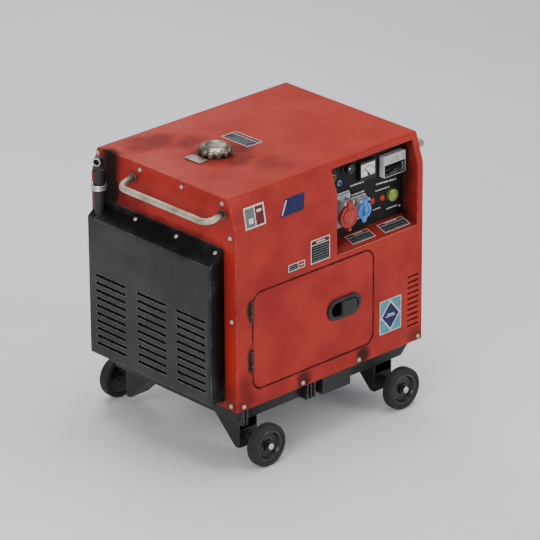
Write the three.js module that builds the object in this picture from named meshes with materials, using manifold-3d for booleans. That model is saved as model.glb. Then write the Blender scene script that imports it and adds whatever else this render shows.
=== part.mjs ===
// An engine driven welder in a sheet-metal canopy, carried on four fixed wheels.
// Millimetres, +Z up. X runs along the door side, from the exhaust end to the intake end, and Y runs from
// the door side to the rear. The origin is on the ground, under the centre of the machine's outline.
import * as THREE from "three";
import { mergeVertices } from "three/addons/utils/BufferGeometryUtils.js";
import Module from "manifold-3d";

const wasm = await Module();
wasm.setup();

// ---------------------------------------------------------------- driving dimensions

const LENGTH = 632; // canopy, along X
const WIDTH = 520; // canopy, along Y
const HEIGHT = 552.5; // canopy, from its lower edge to the roof
const CLEARANCE = 162; // canopy's lower edge above the ground
const SLOPE_DROP = 76; // height of the sloping band under the roof
const SLOPE_IN = 25; // how far the sloping band leans in
const SHEET = 2; // canopy sheet
const GAP = 0.3; // between pieces that touch
const ROUND = 16; // facets of a turned piece
const PLAIN = 12; // facets of a slim or hidden one

const EAVES = HEIGHT - SLOPE_DROP; // where the upright walls start to lean in
const SLOPE_LENGTH = Math.hypot(SLOPE_DROP, SLOPE_IN);

// ---------------------------------------------------------------- solids

const AXIS_X = new THREE.Vector3(1, 0, 0);
const AXIS_Y = new THREE.Vector3(0, 1, 0);
const AXIS_Z = new THREE.Vector3(0, 0, 1);

// A flat outline (u, v) is pushed along one axis: x takes it to (y, z), y takes it to (x, z), z to (x, y).
const PUSH = {
  x: new THREE.Matrix4().makeBasis(AXIS_Y, AXIS_Z, AXIS_X),
  y: new THREE.Matrix4().makeBasis(AXIS_X, AXIS_Z, AXIS_Y.clone().negate()),
  z: new THREE.Matrix4(),
};

// A turned piece stands along one axis, its profile given as (radius, place along that axis).
const STAND = {
  x: new THREE.Matrix4().makeBasis(AXIS_Y, AXIS_X, AXIS_Z.clone().negate()),
  y: new THREE.Matrix4(),
  z: new THREE.Matrix4().makeBasis(AXIS_X, AXIS_Z, AXIS_Y.clone().negate()),
};

function solid(geometry) {
  const bare = new THREE.BufferGeometry();
  const loose = geometry.index ? geometry.toNonIndexed() : geometry;
  bare.setAttribute("position", loose.getAttribute("position"));
  const merged = mergeVertices(bare, 1e-3);
  const corners = merged.index.array;
  const faces = [];
  for (let i = 0; i < corners.length; i += 3) {
    const [a, b, c] = [corners[i], corners[i + 1], corners[i + 2]];
    if (a !== b && b !== c && c !== a) faces.push(a, b, c);
  }
  return new wasm.Manifold(
    new wasm.Mesh({
      numProp: 3,
      vertProperties: merged.attributes.position.array,
      triVerts: new Uint32Array(faces),
    }),
  );
}

const join = (first, ...rest) => rest.reduce((whole, piece) => whole.add(piece), first);

const cut = (first, ...rest) => rest.reduce((whole, piece) => whole.subtract(piece), first);

function block([x0, x1], [y0, y1], [z0, z1]) {
  const geometry = new THREE.BoxGeometry(x1 - x0, y1 - y0, z1 - z0);
  geometry.translate((x0 + x1) / 2, (y0 + y1) / 2, (z0 + z1) / 2);
  return solid(geometry);
}

function pushed(outline, axis, from, to, curveSegments = 3) {
  const geometry = new THREE.ExtrudeGeometry(outline, {
    depth: to - from,
    bevelEnabled: false,
    curveSegments,
  });
  geometry.applyMatrix4(PUSH[axis]);
  const start = axis === "y" ? to : from;
  const shift = { x: AXIS_X, y: AXIS_Y, z: AXIS_Z }[axis].clone().multiplyScalar(start);
  geometry.translate(shift.x, shift.y, shift.z);
  return solid(geometry);
}

function turned(profile, axis, [x, y, z], segments = ROUND) {
  const points = profile.map(([r, along]) => new THREE.Vector2(r, along));
  if (THREE.ShapeUtils.isClockWise(points)) points.reverse();
  points.push(points[0].clone());
  const geometry = new THREE.LatheGeometry(points, segments);
  geometry.applyMatrix4(STAND[axis]);
  geometry.translate(x, y, z);
  return solid(geometry);
}

// A plain round bar from one place to another along an axis, centred on the other two coordinates.
function bar(radius, axis, from, to, centre, segments = ROUND) {
  const profile = [
    [0, from],
    [radius, from],
    [radius, to],
    [0, to],
  ];
  return turned(profile, axis, centre, segments);
}

// A round pipe along a flat route. `place` puts a point of the route (u, v) and its lift off that plane in
// space, and each ring is mitred like the route's own corners.
function pipe(route, radius, sides, place) {
  const rows = Array.from({ length: sides }, (_, side) => {
    const angle = ((side + 0.5) / sides) * Math.PI * 2;
    const lift = radius * Math.sin(angle);
    return shifted(route, radius * Math.cos(angle)).map(({ x, y }) => place(x, y, lift));
  });
  const rings = route.length;
  const corner = (side, ring) => (side % sides) * rings + ring;
  const faces = [];
  for (let side = 0; side < sides; side++) {
    for (let ring = 0; ring < rings - 1; ring++) {
      const far = corner(side + 1, ring + 1);
      faces.push(corner(side, ring), far, corner(side + 1, ring));
      faces.push(corner(side, ring), corner(side, ring + 1), far);
    }
  }
  for (let side = 1; side < sides - 1; side++) {
    faces.push(corner(0, 0), corner(side, 0), corner(side + 1, 0));
    faces.push(corner(0, rings - 1), corner(side + 1, rings - 1), corner(side, rings - 1));
  }
  const geometry = new THREE.BufferGeometry();
  geometry.setAttribute("position", new THREE.Float32BufferAttribute(rows.flat(2), 3));
  geometry.setIndex(faces);
  return solid(geometry);
}

// ---------------------------------------------------------------- outlines

function polygon(points) {
  return new THREE.Shape(points.map(([u, v]) => new THREE.Vector2(u, v)));
}

function roundedRectangle([u0, u1], [v0, v1], radius) {
  const shape = new THREE.Shape();
  shape.moveTo(u0 + radius, v0);
  shape.lineTo(u1 - radius, v0);
  shape.absarc(u1 - radius, v0 + radius, radius, -Math.PI / 2, 0);
  shape.lineTo(u1, v1 - radius);
  shape.absarc(u1 - radius, v1 - radius, radius, 0, Math.PI / 2);
  shape.lineTo(u0 + radius, v1);
  shape.absarc(u0 + radius, v1 - radius, radius, Math.PI / 2, Math.PI);
  shape.lineTo(u0, v0 + radius);
  shape.absarc(u0 + radius, v0 + radius, radius, Math.PI, Math.PI * 1.5);
  return shape;
}

const around = ([from, to], margin) => [from - margin, to + margin];

// An open line of points, each inner corner rounded off with its own radius.
function bentLine(points, radii, steps = 3) {
  const corners = points.map(([u, v]) => new THREE.Vector2(u, v));
  const last = corners.length - 1;
  const line = [corners[0]];
  for (let i = 1; i < last; i++) {
    const before = corners[i - 1].clone().sub(corners[i]).normalize();
    const after = corners[i + 1].clone().sub(corners[i]).normalize();
    const turn = Math.PI - Math.acos(before.dot(after));
    const reach = radii[i - 1] * Math.tan(turn / 2);
    const bend = new THREE.QuadraticBezierCurve(
      corners[i].clone().addScaledVector(before, reach),
      corners[i],
      corners[i].clone().addScaledVector(after, reach),
    );
    line.push(...bend.getPoints(steps));
  }
  line.push(corners[last]);
  return line;
}

// The same line moved to its right by a distance, its corners mitred.
function shifted(line, distance) {
  const last = line.length - 1;
  const rightOf = (a, b) => {
    const along = b.clone().sub(a).normalize();
    return new THREE.Vector2(along.y, -along.x);
  };
  return line.map((point, i) => {
    const before = rightOf(line[Math.max(i - 1, 0)], line[Math.max(i, 1)]);
    const after = rightOf(line[Math.min(i, last - 1)], line[Math.min(i + 1, last)]);
    const mitre = before.clone().add(after).multiplyScalar(distance / (1 + before.dot(after)));
    return point.clone().add(mitre);
  });
}

// The section of a folded sheet, from its outer line.
const sheetSection = (outer) => new THREE.Shape([...outer, ...shifted(outer, SHEET).reverse()]);

// A field of level slots: columns are (centre, width) along the wall, rows run down from the top one.
function slotField(axis, through, columns, topRow, rows, pitch, height) {
  const slots = [];
  for (const [centre, width] of columns) {
    for (let row = 0; row < rows; row++) {
      const level = topRow - row * pitch;
      const across = [centre - width / 2, centre + width / 2];
      const up = [level - height / 2, level + height / 2];
      slots.push(axis === "x" ? block(through, across, up) : block(across, through, up));
    }
  }
  return slots;
}

// ---------------------------------------------------------------- finishes and meshes

const finish = (color, roughness, metalness = 0) =>
  new THREE.MeshStandardMaterial({ color, roughness, metalness });

const redPaint = () => finish(0xa63c36, 0.45);
const blackPaint = () => finish(0x303030, 0.5);
const blackPlastic = () => finish(0x1c1c1e, 0.45);
const greyPlastic = () => finish(0xb9bbbd, 0.5);
const redPlastic = () => finish(0xb43a2e, 0.4);
const bluePlastic = () => finish(0x6496d2, 0.4);
const bareSteel = () => finish(0xc4beaa, 0.4, 0.8);
const castIron = () => finish(0x55585a, 0.6, 0.5);
const castAlloy = () => finish(0x9a9c9e, 0.5, 0.7);
const rubber = () => finish(0x1b1c1c, 0.75);

const machine = new THREE.Group();
machine.position.set(-LENGTH / 2, -WIDTH / 2, CLEARANCE);

function add(name, shape, material, parent = machine) {
  const { numProp, vertProperties, triVerts } = shape.getMesh();
  const places = new Float32Array((vertProperties.length / numProp) * 3);
  for (let i = 0; i < places.length / 3; i++) {
    places.set(vertProperties.subarray(i * numProp, i * numProp + 3), i * 3);
  }
  const geometry = new THREE.BufferGeometry();
  geometry.setAttribute("position", new THREE.BufferAttribute(places, 3));
  geometry.setIndex(new THREE.BufferAttribute(triVerts, 1));
  geometry.computeVertexNormals();
  const mesh = new THREE.Mesh(geometry, material);
  mesh.name = name;
  parent.add(mesh);
  return mesh;
}

// The far side of the canopy: the same frame turned half round about the canopy's upright centre line.
const farSide = new THREE.Group();
farSide.position.set(LENGTH, WIDTH, 0);
farSide.rotation.z = Math.PI;
machine.add(farSide);

// ---------------------------------------------------------------- base tray

const TRAY = { top: 18, bottom: 36, depth: 48, wall: 3, rim: SHEET + GAP };

function trayPan(inset, floor) {
  const lower = TRAY.bottom + inset;
  const upper = TRAY.top + inset;
  const corner = (side, x, y, z) => [side[0] ? LENGTH - x : x, side[1] ? WIDTH - y : y, z];
  const sides = [
    [0, 0],
    [1, 0],
    [1, 1],
    [0, 1],
  ];
  const ring = (at, z) => sides.map((side) => corner(side, at, at, z));
  const places = [...ring(lower, -TRAY.depth + floor), ...ring(upper, floor ? 1 : 0)].flat();
  const quad = (a, b, c, d) => [a, b, c, a, c, d];
  const faces = [...quad(3, 2, 1, 0), ...quad(4, 5, 6, 7)];
  for (let i = 0; i < 4; i++) {
    const next = (i + 1) % 4;
    faces.push(...quad(i, next, next + 4, i + 4));
  }
  const geometry = new THREE.BufferGeometry();
  geometry.setAttribute("position", new THREE.Float32BufferAttribute(places, 3));
  geometry.setIndex(faces);
  return solid(geometry);
}

// A pan with sloping sides, turned out into a rim that the canopy stands on. Under the door it has a drain
// trough, and upright ribs stiffen its front wall.
const DRAIN = { x: [290, 384], wall: 6, ribs: [26, 37, 240, 252, 264] };

function baseTray() {
  const rim = block([TRAY.rim, LENGTH - TRAY.rim], [TRAY.rim, WIDTH - TRAY.rim], [0, TRAY.wall]);
  const pan = join(trayPan(0, 0), rim);
  const opened = block(
    [TRAY.top + TRAY.wall, LENGTH - TRAY.top - TRAY.wall],
    [TRAY.top + TRAY.wall, WIDTH - TRAY.top - TRAY.wall],
    [0, TRAY.wall + 1],
  );
  const tray = cut(pan, trayPan(TRAY.wall, TRAY.wall), opened);
  const trough = block(DRAIN.x, [1.5, 40], [-46, -3]);
  const hollow = block([DRAIN.x[0] + DRAIN.wall, DRAIN.x[1] - DRAIN.wall], [8, 60], [-40, -3]);
  const ribs = DRAIN.ribs.map((x) => block([x, x + 5], [6, 38], [-46, -1]));
  return join(tray, cut(trough, hollow), ...ribs);
}

add("base_tray", baseTray(), blackPaint());

// ---------------------------------------------------------------- wheel legs and wheels

const WHEEL = { radius: 55, centre: -107, outer: -28, inner: 2, near: 84, far: 548 };
const LEG = { width: 60, wall: 3, face: 52, reach: 152, foot: 66, tip: -131, window: -84 };
const AXLE = { radius: 7, collar: 11, head: 8.5 };

function leg() {
  const top = -TRAY.depth - GAP;
  const half = LEG.width / 2;
  const run = (LEG.reach - LEG.foot) / (top - LEG.tip); // how fast the web slopes
  const webShift = LEG.wall * Math.hypot(1, run);
  const webAt = (z) => LEG.foot - webShift + (z - LEG.tip) * run;
  const outer = polygon([
    [LEG.face, LEG.tip],
    [LEG.foot, LEG.tip],
    [LEG.reach, top],
    [LEG.face, top],
  ]);
  const inner = polygon([
    [LEG.face + LEG.wall, LEG.tip + LEG.wall],
    [webAt(LEG.tip + LEG.wall), LEG.tip + LEG.wall],
    [webAt(top - LEG.wall), top - LEG.wall],
    [LEG.face - LEG.wall, top - LEG.wall],
    [LEG.face - LEG.wall, LEG.window],
    [LEG.face + LEG.wall, LEG.window],
  ]);
  const channel = cut(
    pushed(outer, "x", -half, half),
    pushed(inner, "x", -half + LEG.wall, half - LEG.wall),
  );
  const at = [0, 0, WHEEL.centre];
  const spindle = [
    [0, WHEEL.outer - 5],
    [AXLE.head - 2, WHEEL.outer - 5],
    [AXLE.head, WHEEL.outer - 3],
    [AXLE.head, WHEEL.outer - 0.5],
    [AXLE.radius, WHEEL.outer - 0.5],
    [AXLE.radius, WHEEL.inner + 1.5],
    [AXLE.collar, WHEEL.inner + 1.5],
    [AXLE.collar, LEG.face + 6],
    [0, LEG.face + 6],
  ];
  return join(channel, turned(spindle, "y", at, 10));
}

function tyre() {
  const r = WHEEL.radius;
  const half = (side) => [
    [38, side * 11],
    [41.3, side * 11],
    [45, side * 15],
    [r - 3, side * 13],
    [r, side * 8],
  ];
  return turned([...half(-1), ...half(1).reverse()], "y", [0, -13, WHEEL.centre]);
}

// The dished hub: a deep recess on the outer side, a boss round the axle, and two lips that hold the tyre.
function rim() {
  const profile = [
    [7.4, -12.5],
    [13, -12.5],
    [14, -3],
    [30, -3],
    [33, -13],
    [41, -13],
    [41, -11.3],
    [37.7, -11.3],
    [37.7, 11.3],
    [41, 11.3],
    [41, 13],
    [7.4, 13],
  ];
  return turned(profile, "y", [0, -13, WHEEL.centre]);
}

for (const [side, frame] of [
  ["front", machine],
  ["rear", farSide],
]) {
  for (const end of ["left", "right"]) {
    const onLeft = end === "left";
    const station = new THREE.Group();
    const x = onLeft ? WHEEL.near : WHEEL.far;
    station.position.x = side === "front" ? x : LENGTH - x;
    frame.add(station);
    add(`leg_${side}_${end}`, leg(), blackPaint(), station);
    add(`tyre_${side}_${end}`, tyre(), rubber(), station);
    add(`rim_${side}_${end}`, rim(), blackPlastic(), station);
  }
}

// ---------------------------------------------------------------- canopy sheets

const DOOR = { x: [55, 460], z: [44, 297], corner: 28, gap: 2.5, flange: 14 };
const CONSOLE = { x: [336, 614], bottom: 315, top: 536.5, depth: 52, rise: 18 };
const HINGE = { x: 51, y: 1, radius: 4.5, pin: 2.2, height: 52, low: [96, 228] };
const LOUVRE = { centre: 600.5, width: 39, top: 181, rows: 10, pitch: 14.8, height: 6 };
const SEAM = 8; // from the roof's corner line down the slope to the roof sheet's edge
const ROOF_BEND = 8;
const EAVES_BEND = 14;

const wallSpan = [SHEET + GAP, LENGTH - SHEET - GAP]; // the long sheets fit between the two end plates

// Points on the sloping band, a distance down from the roof's corner line, at the front or the rear.
function onSlope(down, rear = false) {
  const y = SLOPE_IN - (SLOPE_IN * down) / SLOPE_LENGTH;
  return [rear ? WIDTH - y : y, HEIGHT - (SLOPE_DROP * down) / SLOPE_LENGTH];
}

function longWall() {
  const outer = bentLine([[0, 0], [0, EAVES], onSlope(SEAM + GAP)], [EAVES_BEND]);
  return pushed(sheetSection(outer), "x", ...wallSpan);
}

const through = [-20, 60]; // a cutter that passes a long wall anywhere, its sloping band included

function frontPanel() {
  const doorway = pushed(
    roundedRectangle(
      [DOOR.x[0] - DOOR.gap, DOOR.x[1] + DOOR.gap],
      [DOOR.z[0] - DOOR.gap, DOOR.z[1] + DOOR.gap],
      DOOR.corner + DOOR.gap,
    ),
    "y",
    ...through,
  );
  const console = block(CONSOLE.x, through, [CONSOLE.bottom, CONSOLE.top]);
  const notches = HINGE.low.map((z) =>
    block([HINGE.x - 6, DOOR.x[0]], through, [z - 2, z + HINGE.height + 2]),
  );
  const { centre, width, top, rows, pitch, height } = LOUVRE;
  const louvres = slotField("y", through, [[centre, width]], top, rows, pitch, height);
  return cut(longWall(), doorway, console, ...notches, ...louvres);
}

function rearPanel() {
  const columns = [
    [90, 70],
    [542, 70],
  ];
  return cut(longWall(), ...slotField("y", through, columns, 205, 8, 20.4, 8));
}

function roofPanel() {
  const outer = bentLine(
    [onSlope(SEAM), [SLOPE_IN, HEIGHT], [WIDTH - SLOPE_IN, HEIGHT], onSlope(SEAM, true)],
    [ROOF_BEND, ROOF_BEND],
  );
  const sheet = pushed(sheetSection(outer), "x", ...wallSpan);
  return cut(sheet, bar(FUEL.hole, "z", HEIGHT - 20, HEIGHT + 20, [...FUEL.at, 0]));
}

// The canopy's arch seen from the end, as an open line from the door side's foot over to the rear's.
function archLine(foot, inset = 0) {
  const corners = [
    [0, foot],
    [0, EAVES],
    [SLOPE_IN, HEIGHT],
    [WIDTH - SLOPE_IN, HEIGHT],
    [WIDTH, EAVES],
    [WIDTH, foot],
  ];
  return shifted(bentLine(corners, [EAVES_BEND, ROOF_BEND, ROOF_BEND, EAVES_BEND]), inset);
}

// An end plate: a full-outline face, and an arched flange that the long sheets are screwed to.
function endPlate() {
  const flange = 16;
  const seat = SHEET + 2 * GAP;
  const foot = TRAY.wall + GAP;
  const face = pushed(new THREE.Shape(archLine(0)), "x", 0, SHEET);
  const strip = [...archLine(foot, seat), ...archLine(foot, seat + SHEET).reverse()];
  return join(face, pushed(new THREE.Shape(strip), "x", SHEET / 2, flange));
}

const VENT = { top: 235, rows: 10, pitch: 20.4, height: 8 };
VENT.columns = [
  [405, 110],
  [255.5, 105],
  [113, 104],
];

function leftEnd() {
  const windows = VENT.columns.flatMap(([centre]) =>
    [80, 140, 200].map((z) => block([-5, 5], [centre - 35, centre + 35], [z - 24, z + 24])),
  );
  const pipeHole = bar(EXHAUST.radius + 4, "x", -5, 5, [0, EXHAUST.y, EXHAUST.port]);
  return cut(endPlate(), pipeHole, ...windows);
}

function rightEnd() {
  const columns = VENT.columns.map(([centre]) => [centre, 90]);
  return cut(endPlate(), ...slotField("x", [-5, 5], columns, 330, 6, 34, 8));
}

// ---------------------------------------------------------------- fuel tank and cap

const FUEL = { at: [177, 262], hole: 29, neck: 26, well: 22, neckTop: 558 };
const CAP = { radius: 41, base: 553.3, top: 577, lobes: 12, scallop: 1.6 };
const TANK = { x: [70, 300], y: [112, 412], z: [378, 532], corner: 40, seam: 455, flange: 9 };

// Two pressed halves meet at a seam flange, which the cradle carries.
function fuelTank() {
  const { x, y, z, corner, seam, flange } = TANK;
  const body = pushed(roundedRectangle(x, y, corner), "z", ...z, 1);
  const lip = roundedRectangle(around(x, flange), around(y, flange), corner + flange);
  const neck = bar(FUEL.neck, "z", z[1] - 1, FUEL.neckTop, [...FUEL.at, 0]);
  const well = bar(FUEL.well, "z", z[1] - 70, FUEL.neckTop + 1, [...FUEL.at, 0]);
  return cut(join(body, pushed(lip, "z", seam - 1.5, seam + 1.5, 1), neck), well);
}

const SEAL = 3.5; // room for the sealing ring between the neck and the cap

// A pressed cap with a scalloped rim, hollow under its crown so that it drops over the filler neck.
function fuelCap() {
  const { radius, base, top, lobes, scallop } = CAP;
  const steps = lobes * 4;
  const rimLine = Array.from({ length: steps }, (_, i) => {
    const angle = (i / steps) * Math.PI * 2;
    const reach = radius - scallop + scallop * Math.cos(lobes * angle);
    return [reach * Math.cos(angle), reach * Math.sin(angle)];
  });
  const skirt = pushed(polygon(rimLine), "z", base, top - 6);
  const crown = [
    [0, top - 9],
    [radius - 5, top - 9],
    [radius - 5, top - 5],
    [radius - 9, top - 1.5],
    [radius - 16, top],
    [radius - 20, top - 1.5],
    [0, top - 1.5],
  ];
  const hollow = bar(FUEL.neck + 2, "z", base - 1, FUEL.neckTop + SEAL, [0, 0, 0]);
  return cut(join(skirt, turned(crown, "z", [0, 0, 0], 24)), hollow);
}

// The sealing ring that lifts with the cap and stays still while the cap turns on it.
function capGasket() {
  const [low, high] = [FUEL.neckTop + GAP, FUEL.neckTop + SEAL - GAP];
  const profile = [
    [FUEL.well - 1, low],
    [FUEL.neck, low],
    [FUEL.neck, high],
    [FUEL.well - 1, high],
  ];
  return turned(profile, "z", [0, 0, 0]);
}

const GAUGE = { x: [100, 130], y: [236, 290], thick: 3, margin: 5, sunk: 1 };

// The fuel gauge's plate, with its window sunk in the middle.
function gaugePlate() {
  const { x, y, thick, margin, sunk } = GAUGE;
  const top = HEIGHT + thick;
  const plate = pushed(roundedRectangle(x, y, 3), "z", HEIGHT + GAP, top, 2);
  const pane = roundedRectangle(around(x, -margin), around(y, -margin - 2), 3);
  return cut(plate, pushed(pane, "z", top - sunk, top + 1, 2));
}

// ---------------------------------------------------------------- exhaust

const EXHAUST = { x: -25, y: 463, radius: 12.5, port: 305, bend: 24, sleeve: 15.5, top: 545 };
const TAIL = { level: 533, radius: 10.5, bore: 7.5, out: 16, turn: 30 };
const CLAMP = { low: 457, high: 471, band: 3, ridge: 1 };

// One pipe: out of the silencer, through the end plate, a bend upwards, and a tail at the top that turns
// out and a little towards the door side.
function exhaustPipe() {
  const { x, y, radius, port, bend, sleeve, top } = EXHAUST;
  const turn = [
    [36, port],
    [x, port],
    [x, port + 2 * bend],
  ];
  const elbow = pipe(bentLine(turn, [bend], 4), radius, PLAIN, (u, v, lift) => [u, y - lift, v]);
  const stack = [
    [0, port + 2 * bend - 4],
    [radius - 0.5, port + 2 * bend - 4],
    [radius, 400],
    [sleeve, 436],
    [sleeve, 500],
    [sleeve + 1, 503],
    [sleeve + 1, 510],
    [sleeve - 2, 513],
    [sleeve - 2.5, 530],
    [sleeve - 4.5, top - 4],
    [5, top],
    [0, top],
  ];
  const outlet = (size, from, to) => {
    const straight = bar(size, "x", -to, -from, [0, 0, TAIL.level], PLAIN);
    return straight.rotate([0, 0, TAIL.turn]).translate([x, y, 0]);
  };
  const whole = join(elbow, turned(stack, "z", [x, y, 0], PLAIN), outlet(TAIL.radius, 0, TAIL.out));
  return cut(whole, outlet(TAIL.bore, -4, TAIL.out + 3));
}

// A split band round the sleeve with a rolled ridge along each edge, drawn tight by two ears.
function exhaustClamp() {
  const inner = EXHAUST.sleeve + GAP + 0.1;
  const outer = inner + CLAMP.band;
  const { low, high, ridge } = CLAMP;
  const section = [
    [inner, low],
    [outer, low],
    [outer + ridge, low + 2.5],
    [outer, low + 5],
    [outer, high - 5],
    [outer + ridge, high - 2.5],
    [outer, high],
    [inner, high],
  ];
  const ears = block([-4, 4], [inner - 4, inner + 10], [low + 1, high - 1]);
  const slit = block([-1, 1], [inner - 6, inner + 14], [low - 7, high + 9]);
  const round = bar(inner + 1, "z", low - 7, high + 9, [0, 0, 0], PLAIN);
  return cut(join(turned(section, "z", [0, 0, 0], PLAIN), cut(ears, round)), slit);
}

// ---------------------------------------------------------------- end cover

const COVER = { out: 45, y: [41, 485], z: [20, 385], top: 421 };

// A folded box with no back: upright face with the air slots, and a top that slopes up to the end plate.
function endCover() {
  const { out, y, z, top } = COVER;
  const rise = (top - z[1]) / out;
  const section = (inset, back) => {
    const roofAt = (x) => top + x * rise - inset * Math.hypot(1, rise);
    return polygon([
      [back, z[0] + inset],
      [back, roofAt(back)],
      [inset - out, roofAt(inset - out)],
      [inset - out, z[0] + inset],
    ]);
  };
  const shell = cut(
    pushed(section(0, -GAP), "y", ...y),
    pushed(section(SHEET, 5), "y", y[0] + SHEET, y[1] - SHEET),
  );
  const { columns, top: topRow, rows, pitch, height } = VENT;
  const slots = slotField("x", [-out - 5, 5 - out], columns, topRow, rows, pitch, height);
  const pipeHole = bar(EXHAUST.radius + 2.5, "z", z[1] - 5, top + 9, [EXHAUST.x, EXHAUST.y, 0]);
  return cut(shell, pipeHole, ...slots);
}

// ---------------------------------------------------------------- lifting handles

const HANDLE = { y: [42, 363], mount: 511, drop: 11, out: 50, radius: 8.2, bend: 26, washer: 12 };

// A bent tube in a plane that falls outwards, with a washer where each leg meets the end plate.
function handle() {
  const { y, mount, drop, out, radius, bend, washer } = HANDLE;
  const reach = Math.hypot(out, drop);
  const [level, fall] = [out / reach, drop / reach];
  const past = -4; // the legs run on into the plate, and are cut off flush with it
  const corners = [
    [y[0], past],
    [y[0], reach],
    [y[1], reach],
    [y[1], past],
  ];
  const tube = pipe(bentLine(corners, [bend, bend]), radius, PLAIN, (along, outwards, lift) => [
    -outwards * level - lift * fall,
    along,
    mount - outwards * fall + lift * level,
  ]);
  const washers = y.map((at) => bar(washer, "x", -4, -GAP, [0, at, mount - 1], PLAIN));
  const plate = block([-GAP, 20], [y[0] - 30, y[1] + 30], [mount - 30, mount + 30]);
  return cut(join(tube, ...washers), plate);
}

// ---------------------------------------------------------------- door, hinges and latch

const LATCH = { x: [303, 415], z: [144, 200], proud: 4, depth: 22, wall: 2, rim: 8 };

const slotOutline = ([u0, u1], [v0, v1]) => roundedRectangle([u0, u1], [v0, v1], (v1 - v0) / 2 - 0.01);
const latchOutline = (inset) =>
  slotOutline([LATCH.x[0] + inset, LATCH.x[1] - inset], [LATCH.z[0] + inset, LATCH.z[1] - inset]);

function doorPanel() {
  const outline = (inset) =>
    roundedRectangle(
      [DOOR.x[0] + inset, DOOR.x[1] - inset],
      [DOOR.z[0] + inset, DOOR.z[1] - inset],
      DOOR.corner - inset,
    );
  const face = pushed(outline(0), "y", 0, SHEET);
  const flange = cut(
    pushed(outline(3), "y", SHEET / 2, DOOR.flange),
    pushed(outline(3 + SHEET), "y", SHEET, DOOR.flange + 1),
  );
  const stiffeners = [150, 250].map((x) => block([x, x + 14], [SHEET / 2, 6], [60, 281]));
  const cupHole = pushed(latchOutline(LATCH.rim - 1), "y", ...through);
  const boltSlot = block([DOOR.x[1] - 6, DOOR.x[1] - 2], [SHEET + 1, 40], around(BOLT.z, 2));
  const knuckleRoom = HINGE.low.map((z) =>
    block([DOOR.x[0] - 1, DOOR.x[0] + 1.5], [-5, SHEET + 1], [z - 2, z + HINGE.height + 2]),
  );
  return cut(join(face, flange, ...stiffeners), cupHole, boltSlot, ...knuckleRoom);
}

const hingeThird = HINGE.height / 4;

// The fixed leaf: a plate behind the wall, two outer knuckles, and the pin that runs through all of them.
function hingeFixed(z) {
  const { x, y, radius, pin, height } = HINGE;
  const at = [x, y, 0];
  const leafY = [SHEET + GAP, SHEET + GAP + 2.5];
  const knuckles = [
    [z, z + hingeThird],
    [z + height - hingeThird, z + height],
  ];
  const lobes = knuckles.map(([from, to]) => bar(radius, "z", from, to, at, PLAIN));
  const webs = knuckles.map((span) => block([x - 4, x], [y, leafY[1]], span));
  const leaf = block([x - 24, x - radius - 0.8], leafY, [z, z + height]);
  const tabs = knuckles.map((span) => block([x - radius - 1.5, x], leafY, span));
  return join(bar(pin, "z", z, z + height, at, 8), ...lobes, ...webs, leaf, ...tabs);
}

// The moving leaf: the middle knuckle and a strap that turns in behind the door's edge flange.
function hingeMoving(z) {
  const { x, y, radius, pin, height } = HINGE;
  const span = [z + hingeThird + 0.5, z + height - hingeThird - 0.5];
  const knuckle = bar(radius, "z", ...span, [x, y, 0], PLAIN);
  const strap = block([x, DOOR.x[0] + 2.7], [SHEET + 1.3, y + radius], span);
  const tongue = block([DOOR.x[0] + 0.7, DOOR.x[0] + 2.7], [SHEET + 1.3, DOOR.flange], span);
  const bore = bar(pin + 0.3, "z", z, z + height, [x, y, 0], 8);
  return cut(join(knuckle, strap, tongue), bore);
}

const PADDLE = { x: [348, 401], z: [155.5, 188.5], pivot: [394, -2], front: -8.5, swing: 4 };
const BOLT = { x: [372, 452], y: [24, 28], z: [164, 180], guide: 381, nose: [444, 459], front: 5 };

// A black cup let into the door: an oval bezel outside, and a well behind it with the paddle in its mouth.
function latchBody() {
  const { z, proud, depth, wall, rim: lip } = LATCH;
  const bezel = pushed(latchOutline(0), "y", -proud, -GAP);
  const raised = pushed(latchOutline(2), "y", -proud - 1.5, -proud + 1);
  const cup = pushed(latchOutline(lip - 0.7), "y", -GAP - 1, depth);
  const well = pushed(latchOutline(lip + wall), "y", -proud - 5, depth - wall);
  const bearings = bar(2.6, "z", z[0] + 8, z[1] - 8, [...PADDLE.pivot, 0], 8);
  const guide = block([BOLT.guide, BOLT.guide + 8], [depth - 1, BOLT.y[1] + 3], around(BOLT.z, 4));
  const way = block([BOLT.guide - 1, BOLT.guide + 9], around(BOLT.y, 0.5), around(BOLT.z, 0.5));
  return join(cut(join(bezel, raised, cup), well, bearings), cut(guide, way));
}

// A curved plate that the fingers pull by its free edge; its trunnions turn in the cup's side walls.
function latchPaddle() {
  const [px, py] = PADDLE.pivot;
  const [free, hinged] = PADDLE.x;
  const { front, swing } = PADDLE;
  const section = polygon([
    [free, 0],
    [free + 3, -2],
    [px - 10, -2.5],
    [px - 3, 1.5],
    [px + 3, 1.5],
    [hinged, -1.5],
    [hinged, -5],
    [hinged - 6, front],
    [free + 4, front],
    [free, -6],
  ]);
  const { proud, depth, wall, rim: lip, z } = LATCH;
  const mouth = pushed(latchOutline(lip + wall + 0.7), "y", -proud - 8, depth);
  const swept = mouth.intersect(mouth.translate([-swing, 0, 0])); // its hinged end needs room to swing
  const plate = pushed(section, "z", ...PADDLE.z).intersect(swept);
  return join(plate, bar(2, "z", z[0] + 10.5, z[1] - 10.5, [px, py, 0], 8));
}

// The bolt runs behind the cup, and its nose comes forward through the door's edge flange.
function latchBolt() {
  return join(block(BOLT.x, BOLT.y, BOLT.z), block(BOLT.nose, [BOLT.front, BOLT.y[1]], BOLT.z));
}

// ---------------------------------------------------------------- control console

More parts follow.
